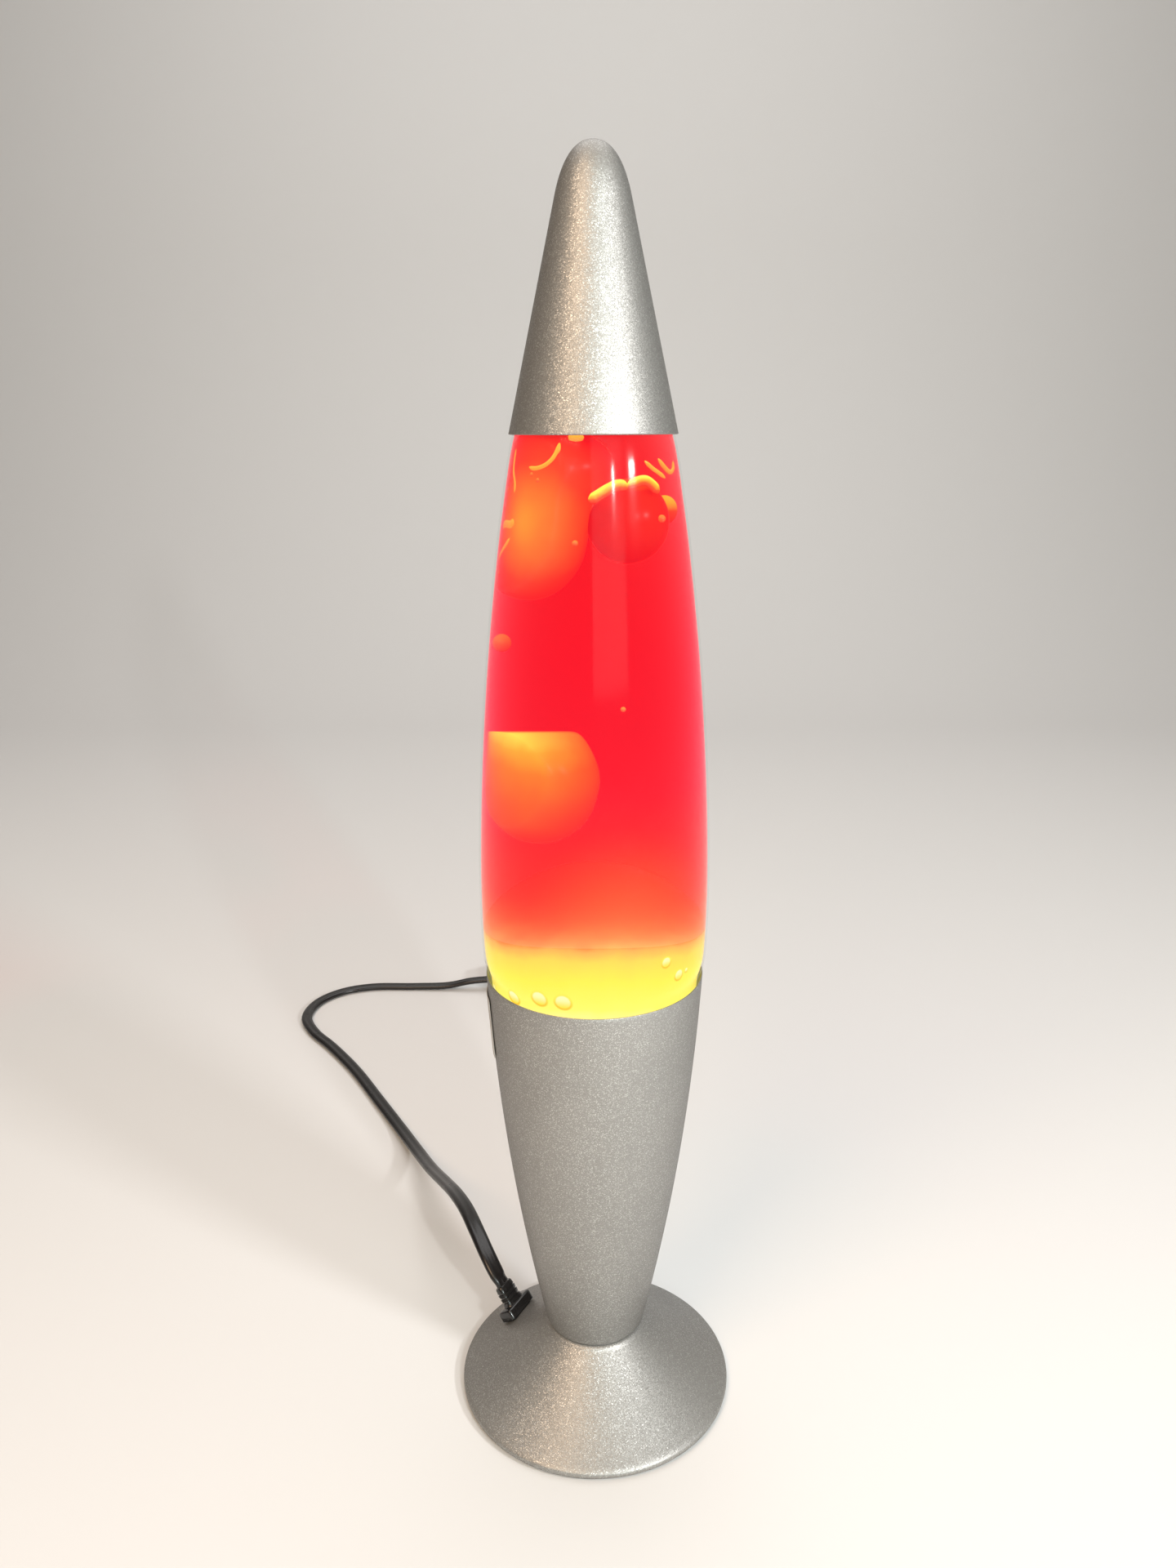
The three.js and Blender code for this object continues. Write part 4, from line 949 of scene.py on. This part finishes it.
# %% Rising blob
BLOB_CLIMB, BLOB_DRIFT = 33.9, 0.075
blob_low, blob_high = span("wax_blob_rising")
blob_mid = middle("wax_blob_rising")
blob_flat = blob_high[2] + 0.6
blob = wax_form(
    "wax_blob_rising_skin",
    blob_mid,
    [
        (blob_mid + [-3, -5, 0], (18, 18, 16.5)),
        (blob_mid + [-7, -6, 10], (20, 18, 15)),
        (blob_mid + [2.6, -7, 5], (12.8, 15, 10)),
    ],
    "rising_wax",
    rows=72,
    columns=108,
    wall_gap=0.9,
    high=blob_flat,
    lean=0.24,
    travel=np.array([BLOB_DRIFT, 0, 1]) * BLOB_CLIMB,
    ease=14,
)
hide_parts("wax_blob_rising")
print("rising blob", len(blob.data.polygons), "faces")

# %% [markdown]
# ### Wax at the top
# A tall soft mass hangs at the left under the cap, a round ball has come up beside it on the right,
# and a small drop holds on to the glass at the left, half way up.

# %% Wax at the top
mass = wax_form(
    "wax_mass_skin",
    (-14, -6, 320),
    [
        ((-17, -8, 315), (15, 18, 17)),
        ((-17, -9, 326), (17, 16, 18)),
        ((-9, -10, 334), (16, 13, 12)),
        ((-21, -5, 307), (12, 15, 10)),
    ],
    "bottle",
    high=liquid_top - 1.2,
    ease=6,
)
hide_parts("wax_mass_upper")

ball_low, ball_high = span("wax_ball_upper")
ball_mid = middle("wax_ball_upper")
ball = wax_form("wax_ball_skin", ball_mid, [(ball_mid + [0.4, -1, -0.6], (12.4, 12, 12.4))], "bottle")
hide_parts("wax_ball_upper")

side_low, side_high = span("wax_drop_side")
side_mid = middle("wax_drop_side") + [2.2, -1.5, 0]
side_drop = wax_form(
    "wax_side_skin", side_mid, [(side_mid, (4.0, 4.0, 4.4))], "bottle", rows=24, columns=36
)
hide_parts("wax_drop_side")
print("top wax", [len(piece.data.polygons) for piece in (mass, ball, side_drop)], "faces")

# %% [markdown]
# ### Pool
# The rest of the wax is a pool on the bottle's floor. A channel in its underside leaves room for the
# heating coil, a steel ring that keeps the wax together.

# %% Pool
CHANNEL_IN, CHANNEL_OUT, CHANNEL_HIGH = 16.8, 23.2, 5.9
pool_line = inner_line[inner_line[:, 1] < POOL_SIDE - 2] - [CLEAR, 0]
pool_line[:, 1] = np.maximum(pool_line[:, 1], floor + CLEAR)
pool_rows = [(0, floor + CLEAR), (CHANNEL_IN, floor + CLEAR), (CHANNEL_IN, floor + CHANNEL_HIGH)]
pool_rows += [(CHANNEL_OUT, floor + CHANNEL_HIGH), (CHANNEL_OUT, floor + CLEAR)]
pool_rows += [tuple(row) for row in pool_line]
pool_rows += [(on_glass(pool_edge) * share, pool_surface(share)) for share in shares[::-1]]
pool = turned("wax_pool_skin", pool_rows, "bottle", SEGMENTS, closed=False)
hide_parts("wax_pool")
for piece in (blob, mass, ball, side_drop, pool):
    print(piece.name, len(piece.data.polygons), "faces")

# %% [markdown]
# ### Molten wax
# Hot wax is cloudy and lit from below, so it shines by itself: near white over the bulb, yellow at
# a thin upper edge, orange in the body and red where it is deep in the dye. The light's colour is
# a ramp over height or over the distance from a bright spot, with soft noise to keep it uneven.
# Base colours stay dark, so that the lights in the room add little to the wax's own.


# %% Molten wax
def wax_finish(name, share, stops, strength=1.0, rim=(0.95, 0.12, 0.06), rim_glow_share=0.5):
    """Wax that gives its own painted light: share is a function of the finish that runs from 0 to 1 over
    the ramp, and the outline, where the wax is seen edge on, goes over to the rim's colour as a painted
    rim glow."""
    wax = Finish(name, Base_Color=(0.22, 0.02, 0.005), Roughness=0.25, Specular_IOR_Level=0.06)
    cloud = (wax.noise(110, 2) - 0.5) * 0.12
    colour = (share(wax) + cloud).clipped().ramp(*stops)
    # painted rim glow: the outline seen edge on shines in the rim's colour
    rim_glow_mask = wax.node("ShaderNodeLayerWeight", {}, out="Facing", Blend=0.5).rise(0.72, 0.97)
    wax.set(Emission_Color=wax.blend(rim_glow_mask * rim_glow_share, colour, rim), Emission_Strength=strength)
    return wax


def by_height(low, high):
    """Runs from 0 at one height to 1 at another, in millimetres."""

    def share(wax):
        return (wax.part(2) - low * MM) / ((high - low) * MM)

    return share


def from_spot(spot, reach):
    """Runs from 0 at a bright spot to 1 at a distance, in millimetres."""

    def share(wax):
        return wax.far_from(spot) / (reach * MM)

    return share


# %% [markdown]
# The blob's painted glow goes from red below to yellow at its flat top. The mass's painted glow is
# brightest at its front. The ball is nearly as dark as the dye with a lit outline, and the small drop
# has a painted yellow-green glow at its top.

# %% Finishes of the big wax forms
blob_wax = wax_finish(
    "rising_wax",
    by_height(blob_low[2], blob_flat + 5),
    [
        (0.0, (0.7, 0.012, 0.012)),
        (0.15, (0.74, 0.035, 0.005)),
        (0.45, (0.76, 0.12, 0.003)),
        (0.7, (0.78, 0.24, 0.004)),
        (0.86, (0.8, 0.5, 0.02)),
        (1.0, (0.85, 1.0, 0.09)),
    ],
    strength=1.2,
)
dress(blob_wax, blob)
# painted glow: brightest round a spot at the mass's front, red further away
mass_wax = wax_finish(
    "upper_wax",
    from_spot((-17, -16, 320), 27),
    [
        (0.0, (1.0, 0.5, 0.04)),
        (0.3, (0.95, 0.25, 0.03)),
        (0.65, (0.82, 0.06, 0.02)),
        (1.0, (0.65, 0.01, 0.015)),
    ],
)
dress(mass_wax, mass)
ball_wax = wax_finish(
    "ball_wax",
    by_height(ball_low[2], ball_high[2]),
    [
        (0.0, (0.38, 0.002, 0.004)),
        (0.6, (0.36, 0.002, 0.004)),
        (0.85, (0.5, 0.02, 0.01)),
        (1.0, (0.9, 0.3, 0.03)),
    ],
    rim=(0.9, 0.07, 0.04),
    rim_glow_share=0.8,
)
dress(ball_wax, ball)
# painted glow: the small drop is lit yellow-green at its top
side_wax = wax_finish(
    "side_wax",
    by_height(side_low[2], side_high[2]),
    [
        (0.0, (0.2, 0.006, 0.005)),
        (0.5, (0.24, 0.06, 0.01)),
        (0.75, (0.28, 0.5, 0.03)),
        (1.0, (0.28, 0.9, 0.06)),
    ],
    strength=3.5,
    rim_glow_share=0.1,
)
dress(side_wax, side_drop)
print("wax finishes", [wax.material.name for wax in (blob_wax, mass_wax, ball_wax, side_wax)])

# %% [markdown]
# The pool lies right over the bulb, so it is the brightest wax: pale yellow at the cup's rim, and
# orange at its surface, a little sooner at the left and right, where less light comes.


# %% Finish of the pool
def pool_share(wax):
    """Height in the pool, and further along the ramp towards the left and right sides."""
    sideways = wax.part(0) / (cup_radius * MM)
    return by_height(cup_rim - 3, pool_crown)(wax) + 0.25 * sideways * sideways


pool_wax = wax_finish(
    "pool_wax",
    pool_share,
    [
        (0.0, (1.0, 1.0, 0.42)),
        (0.2, (1.0, 0.98, 0.16)),
        (0.55, (0.98, 0.9, 0.09)),
        (0.8, (0.96, 0.72, 0.1)),
        (0.93, (0.95, 0.45, 0.1)),
        (1.0, (0.94, 0.2, 0.05)),
    ],
    rim_glow_share=0.15,
)
dress(pool_wax, pool)
print("pool finish", pool_wax.material.name)

# %% [markdown]
# Round drops of wax that have come down lie at the pool's edge, against the glass. Inside wax of
# the same kind a drop only shows as a pale disc with a darker lower rim, so each is drawn in the
# pool's finish: a disc round a point on the glass, with a painted highlight at its top and painted
# shade below, and an orange line around it.


# %% Drops in the pool
def on_wall(azimuth, height, inset):
    """A point inside the glass: azimuth in degrees from the right side, inset from the glass in mm."""
    angle = math.radians(azimuth)
    radius = float(inner_radius(height)) - inset
    return (radius * math.cos(angle), radius * math.sin(angle), height)


def add_drop(wax, colour, azimuth, height, radius):
    """The colour with one drop painted over it, paler at its top as painted light; distances are in drop
    radii.
    """
    reach = wax.far_from(on_wall(azimuth, height, 0)) / (radius * MM)
    # painted light: the drop is paler towards its top and deeper yellow in its lower part
    upwards = ((wax.part(2) - height * MM) / (radius * MM)).rise(-0.9, 0.7)
    inside = wax.blend(upwards, (1.0, 0.8, 0.06), (1.0, 1.0, 0.5))
    ring = wax.blend(upwards, (0.98, 0.55, 0.03), (1.0, 0.86, 0.1))
    with_ring = wax.blend(1 - reach.rise(0.95, 1.2), colour, ring)
    return wax.blend(1 - reach.rise(0.72, 0.95), with_ring, inside)


pool_colour = Link(pool_wax, pool_wax.shader.inputs["Emission Color"].links[0].from_socket)
pool_drops = [
    (193, 171.5, 1.8),
    (197, 166.8, 2.3),
    (223, 171.3, 2.7),
    (241.2, 174.7, 2.9),
    (254.1, 175, 2.9),
    (307, 186.1, 1.9),
    (316.2, 179.8, 2.0),
    (322.3, 180, 0.9),
]
for azimuth, height, radius in pool_drops:
    pool_colour = add_drop(pool_wax, pool_colour, azimuth, height, radius)
pool_wax.set(Emission_Color=pool_colour)
print(len(pool_drops), "drops in the pool")

# %% [markdown]
# ### Threads, beads and bubbles
# Wax that has thinned out lies on the inside of the glass as bright threads and patches near the
# top, with a few round beads. Each thread is an oval section carried along a curve over the glass,
# full in its middle and closed at its ends. The beads are small star-shaped forms like the big ones.


# %% Small wax
def thread(name, width, flat, places):
    """A strand over the glass: an oval section that swells from nothing, stays, and closes again, as
    the root of 2.2 sin(pi share) does when it is held at 1. Flat is its thickness over its width."""
    inset = width * flat / 2 + 0.5
    path = smooth_line([on_wall(azimuth, height, inset) for azimuth, height in places], 8)
    share = np.linspace(0, 1, len(path))
    swell = np.minimum(1, np.sqrt(np.clip(np.sin(np.pi * share) * 2.2, 0, 1)))
    tangent = np.gradient(path, axis=0)
    tangent /= np.linalg.norm(tangent, axis=1)[:, None]
    outwards = path * [1, 1, 0]
    outwards /= np.linalg.norm(outwards, axis=1)[:, None]
    side = np.cross(tangent, outwards)
    side /= np.linalg.norm(side, axis=1)[:, None]
    turn = np.linspace(0, 2 * np.pi, 16, endpoint=False)
    radius = (swell * width / 2)[:, None, None]
    over = np.cos(turn)[None, :, None] * side[:, None]
    through = flat * np.sin(turn)[None, :, None] * outwards[:, None]
    return piece_from_grid(name, path[:, None] + radius * (over + through), "bottle", crease=80)


def bead(name, azimuth, height, radius):
    """A small round drop that touches the glass."""
    centre = on_wall(azimuth, height, radius + 0.35)
    half = (radius, radius, radius * 0.95)
    return wax_form(name, centre, [(centre, half)], "bottle", rows=16, columns=24, wall_gap=0.3)


def joined(name, pieces):
    """Several closed pieces kept as one named piece."""
    work = bmesh.new()
    for piece in pieces:
        work.from_mesh(piece.data)
        bpy.data.objects.remove(piece)
    mesh = bpy.data.meshes.new(name)
    work.to_mesh(mesh)
    work.free()
    made = bpy.data.objects.new(name, mesh)
    bpy.context.scene.collection.objects.link(made)
    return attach(made, "bottle")


# %% [markdown]
# Each strand is its width, its flatness and its places, as (azimuth, height) on the glass. The
# crescent is two humps over the ball's top: a lip of wax that the ball has pushed up.

# %% Threads, crescent and beads
strands = [
    (1.5, 0.6, [(220, 335.6), (227, 335.1), (235, 335.9), (241, 337.7), (244.5, 340.1), (245.6, 342.3)]),
    (1.9, 0.6, [(251.5, 344), (256.8, 343.5), (263.2, 343.8)]),
    (1.6, 0.6, [(199, 341), (199.1, 338.2), (201, 334.1), (206.5, 330.5), (207.4, 327.6)]),
    (3.2, 0.4, [(189.6, 317.4), (198, 318.6), (207.9, 318.9), (212.2, 320.7)]),
    (1.6, 0.6, [(209.6, 315.6), (202.6, 312.8), (193, 309.8), (188, 307.6)]),
    (1.4, 0.6, [(319.4, 337.8), (325.1, 335.5), (332.8, 333.8), (340, 334.6), (343, 336.8)]),
    (1.2, 0.6, [(306, 337.3), (312.3, 335.2), (317.4, 334), (325.2, 332.2)]),
]
humps = [
    (3.2, 0.55, [(266.5, 326.4), (272.1, 327.9), (279.2, 329.7), (286.4, 330.8), (292.8, 330)]),
    (3.0, 0.55, [(291.8, 330.2), (298.7, 331.5), (306.4, 331.8), (312.7, 330.3), (317.5, 328.2)]),
]
threads = joined("wax_threads", [thread("thread", *strand) for strand in strands])
crescent = joined("wax_crescent", [thread("hump", *hump) for hump in humps])
high_beads = joined(
    "wax_high_beads",
    [
        bead("bead", azimuth, height, radius)
        for azimuth, height, radius in [
            (197, 283.3, 2.9),
            (284.7, 267.9, 0.8),
            (258.7, 315, 0.9),
            (193, 328.4, 1.1),
            (225, 333.5, 0.7),
            (231, 332, 0.7),
            (193, 304.2, 0.9),
            (318, 321, 1.2),
        ]
    ],
)
for piece in (threads, crescent, high_beads):
    print(piece.name, len(piece.data.polygons), "faces")

# %% [markdown]
# Thin wax catches light on its top side, so its colour follows the way that its surface faces: the
# height part of the normal, from 0 for an underside to 1 for a top.


# %% Finish of the small wax
def top_lit(name, stops, strength):
    """Wax whose colour runs from its underside to its top side."""
    wax = Finish(name, Base_Color=(0.22, 0.04, 0.01), Roughness=0.2, Specular_IOR_Level=0.15)
    facing = wax.node("ShaderNodeNewGeometry", {}, out="Normal")
    way_up = wax.node("ShaderNodeSeparateXYZ", {}, facing, out="Z")
    share = way_up * 0.5 + 0.5 + (wax.noise(260, 2) - 0.5) * 0.2
    wax.set(Emission_Color=share.clipped().ramp(*stops), Emission_Strength=strength)
    return wax


thread_wax = top_lit(
    "thread_wax", [(0.0, (1.0, 0.2, 0.03)), (0.5, (1.0, 0.42, 0.04)), (1.0, (1.0, 0.75, 0.08))], 1.1
)
crescent_wax = top_lit(
    "crescent_wax",
    [
        (0.0, (0.7, 0.01, 0.01)),
        (0.4, (0.8, 0.05, 0.01)),
        (0.58, (1.0, 0.5, 0.03)),
        (0.72, (1.0, 0.95, 0.07)),
        (1.0, (1.0, 1.0, 0.15)),
    ],
    1.2,
)
high_bead_wax = top_lit(
    "high_bead_wax", [(0.0, (0.8, 0.04, 0.02)), (0.5, (0.9, 0.16, 0.03)), (1.0, (1.0, 0.4, 0.06))], 0.9
)
dress(thread_wax, threads)
dress(crescent_wax, crescent)
dress(high_bead_wax, high_beads)
print("small wax finishes", [wax.material.name for wax in (thread_wax, crescent_wax, high_bead_wax)])

# %% [markdown]
# ## Light and floor
# A pale floor curves up behind. A broad cool softbox stands at the right, a warmer weak one at the
# left, and a large soft one over the floor behind. Two small bright windows at the right are there for
# their reflections, the two upright lines on the glass.

# %% Floor
HALF_WIDE = 3.0
sweep = np.vstack([[(-2.5, 0)], [(1.0, 0)], arc((1.0, 0.6), 0.6, -90, 0, 24), [(1.6, 2.6)]])
corners = [(side, back, height) for back, height in sweep.tolist() for side in (-HALF_WIDE, HALF_WIDE)]
rows = len(sweep)
strips = [(2 * i, 2 * i + 1, 2 * i + 3, 2 * i + 2) for i in range(rows - 1)]
floor_mesh = bpy.data.meshes.new("floor")
floor_mesh.from_pydata(corners, [], strips)
floor_mesh.polygons.foreach_set("use_smooth", np.ones(rows - 1, dtype=bool))
studio_floor = bpy.data.objects.new("studio_floor", floor_mesh)
bpy.context.scene.collection.objects.link(studio_floor)
pale = Finish("pale_floor", Base_Color=(0.72, 0.71, 0.7), Roughness=0.7)
studio_floor.data.materials.append(pale.material)
print("floor", rows, "rows")


# %% Lights
def softbox(name, place, aim, size, power, colour):
    """A rectangle of light: its place and aim in metres, its two sides in metres, its power in watts."""
    lamp = bpy.data.lights.new(name, "AREA")
    lamp.shape = "RECTANGLE"
    lamp.size, lamp.size_y = size
    lamp.energy = power
    lamp.color = colour
    made = bpy.data.objects.new(name, lamp)
    bpy.context.scene.collection.objects.link(made)
    made.location = place
    made.rotation_euler = (Vector(aim) - Vector(place)).to_track_quat("-Z", "Y").to_euler()
    print(name, power, "W")


softbox("cool_right", (0.36, -1.15, 0.72), (0, 0, 0.2), (0.9, 1.1), 9, (0.84, 1.0, 0.97))
softbox("warm_left", (-0.45, -0.65, 0.95), (0, 0, 0.1), (0.5, 0.5), 6, (1.0, 0.7, 0.46))
softbox("top", (0, 0.6, 1.5), (0, 0.4, 0), (1.4, 1.4), 13, (1, 0.99, 0.98))
softbox("window_narrow", (0.38, -0.82, 0.588), (0, 0, 0.33), (0.035, 0.06), 3.0, (1, 1, 1))
softbox("window_wide", (0.7, -0.57, 0.592), (0, 0, 0.33), (0.12, 0.05), 6.0, (1, 1, 1))
world = bpy.data.worlds.new("studio")
bpy.context.scene.world = world
world.use_nodes = True
world.node_tree.nodes["Background"].inputs["Color"].default_value = (0.9, 0.8, 0.72, 1)
world.node_tree.nodes["Background"].inputs["Strength"].default_value = 0.13
bpy.context.scene.view_settings.view_transform = "Standard"
bpy.context.scene.view_settings.look = "None"

# %% [markdown]
# ## The parts carried over
# The rest of the lamp keeps its CAD shape and gets its finish. Mouldings have a fine grain, metal has
# fine scratches, and both vary a little in tone and gloss, as used parts do.


# %% Plastic and metal
def plastic(name, colour, rough, grain=900, depth=0.00003, **sockets):
    """Moulded plastic or rubber: a base colour that varies a little, and a fine grain in the surface."""
    made = Finish(name, **sockets)
    cloud = made.noise(60, 2)
    darker = tuple(c * 0.75 for c in colour)
    made.set(
        Base_Color=made.blend(cloud, colour, darker),
        Roughness=rough + 0.12 * (cloud - 0.5),
        Normal=made.bump(made.noise(grain, 2), depth),
    )
    return made


def metal(name, colour, rough, scratch=700):
    """Plain metal: a tone that varies a little and fine scratches round the piece."""
    made = Finish(name, Metallic=1.0)
    cloud = made.noise(90, 3)
    made.set(
        Base_Color=made.blend(cloud, colour, tuple(c * 0.7 for c in colour)),
        Roughness=rough + 0.2 * (cloud - 0.5),
        Normal=made.bump(made.noise(scratch, 2), 0.00002),
    )
    return made


# %% [markdown]
# The lead, switch, plug and strain relief are black. The holder is an ivory moulding with brass
# contacts, the pipe and its nuts are zinc-plated steel, and the bulb is frosted glass with a wire
# that glows.

# %% Finishes of the carried parts
black_gloss = plastic("black_moulding", (0.012, 0.011, 0.011), 0.22, Coat_Weight=0.3)
cord_skin = plastic("black_cord", (0.012, 0.01, 0.01), 0.28, grain=500)
rubber = plastic("black_rubber", (0.02, 0.02, 0.02), 0.75)
steel = metal("zinc_steel", (0.55, 0.55, 0.56), 0.35)
brass = metal("brass", (0.78, 0.58, 0.25), 0.3)
tinplate = metal("tinplate", (0.7, 0.66, 0.58), 0.3)
bulb_metal = metal("bulb_metal", (0.75, 0.74, 0.72), 0.3)
ivory = plastic("ivory_moulding", (0.7, 0.65, 0.54), 0.5)
liner = plastic("liner", (0.6, 0.57, 0.52), 0.7)
paper = plastic("label_paper", (0.62, 0.6, 0.57), 0.65, grain=1500)
lead_white = plastic("white_lead", (0.7, 0.68, 0.63), 0.4)
frosted = Finish("bulb_glass", Roughness=0.35, Alpha=0.45)
frosted.set(Base_Color=frosted.blend(frosted.noise(80, 2), (0.95, 0.93, 0.88), (0.85, 0.82, 0.76)))
frosted.set(Emission_Color=(1.0, 0.75, 0.4), Emission_Strength=0.6)
hot_wire = Finish("hot_wire", Metallic=1.0, Emission_Color=(1.0, 0.6, 0.25), Emission_Strength=6.0)
wire_tone = hot_wire.blend(hot_wire.noise(900, 2), (1, 0.8, 0.5), (0.7, 0.5, 0.3))
hot_wire.set(Base_Color=wire_tone, Roughness=0.4)
print(len(bpy.data.materials), "finishes")

# %% [markdown]
# Each finish goes to its parts by the names that the CAD part gave them.

# %% Parts dressed
dress(cord_skin, lead)
dress(
    black_gloss,
    relief,
    *"bottom_plate switch_lower switch_upper switch_rocker plug_body".split(),
    *"bulb_base_insulator inner_lead_live".split(),
)
dress(rubber, *"rubber_foot_front rubber_foot_right rubber_foot_back rubber_foot_left coil_tie".split())
dress(steel, *"lamp_pipe lower_washer lower_nut upper_washer upper_nut rocker_pin heat_coil".split())
dress(
    brass,
    *"holder_thread_shell holder_contact terminal_screw_live terminal_screw_neutral".split(),
    *"switch_contact_left switch_contact_right plug_blade_wide plug_blade_narrow".split(),
)
dress(tinplate, crown)
dress(bulb_metal, "bulb_screw_shell", "bulb_contact_tip")
dress(ivory, "holder_body", "holder_core")
dress(liner, "crown_liner")
dress(paper, "blank_label")
dress(lead_white, "inner_lead_neutral")
dress(frosted, "bulb_envelope", "bulb_stem")
dress(hot_wire, "bulb_filament")
print("parts carried over are dressed")
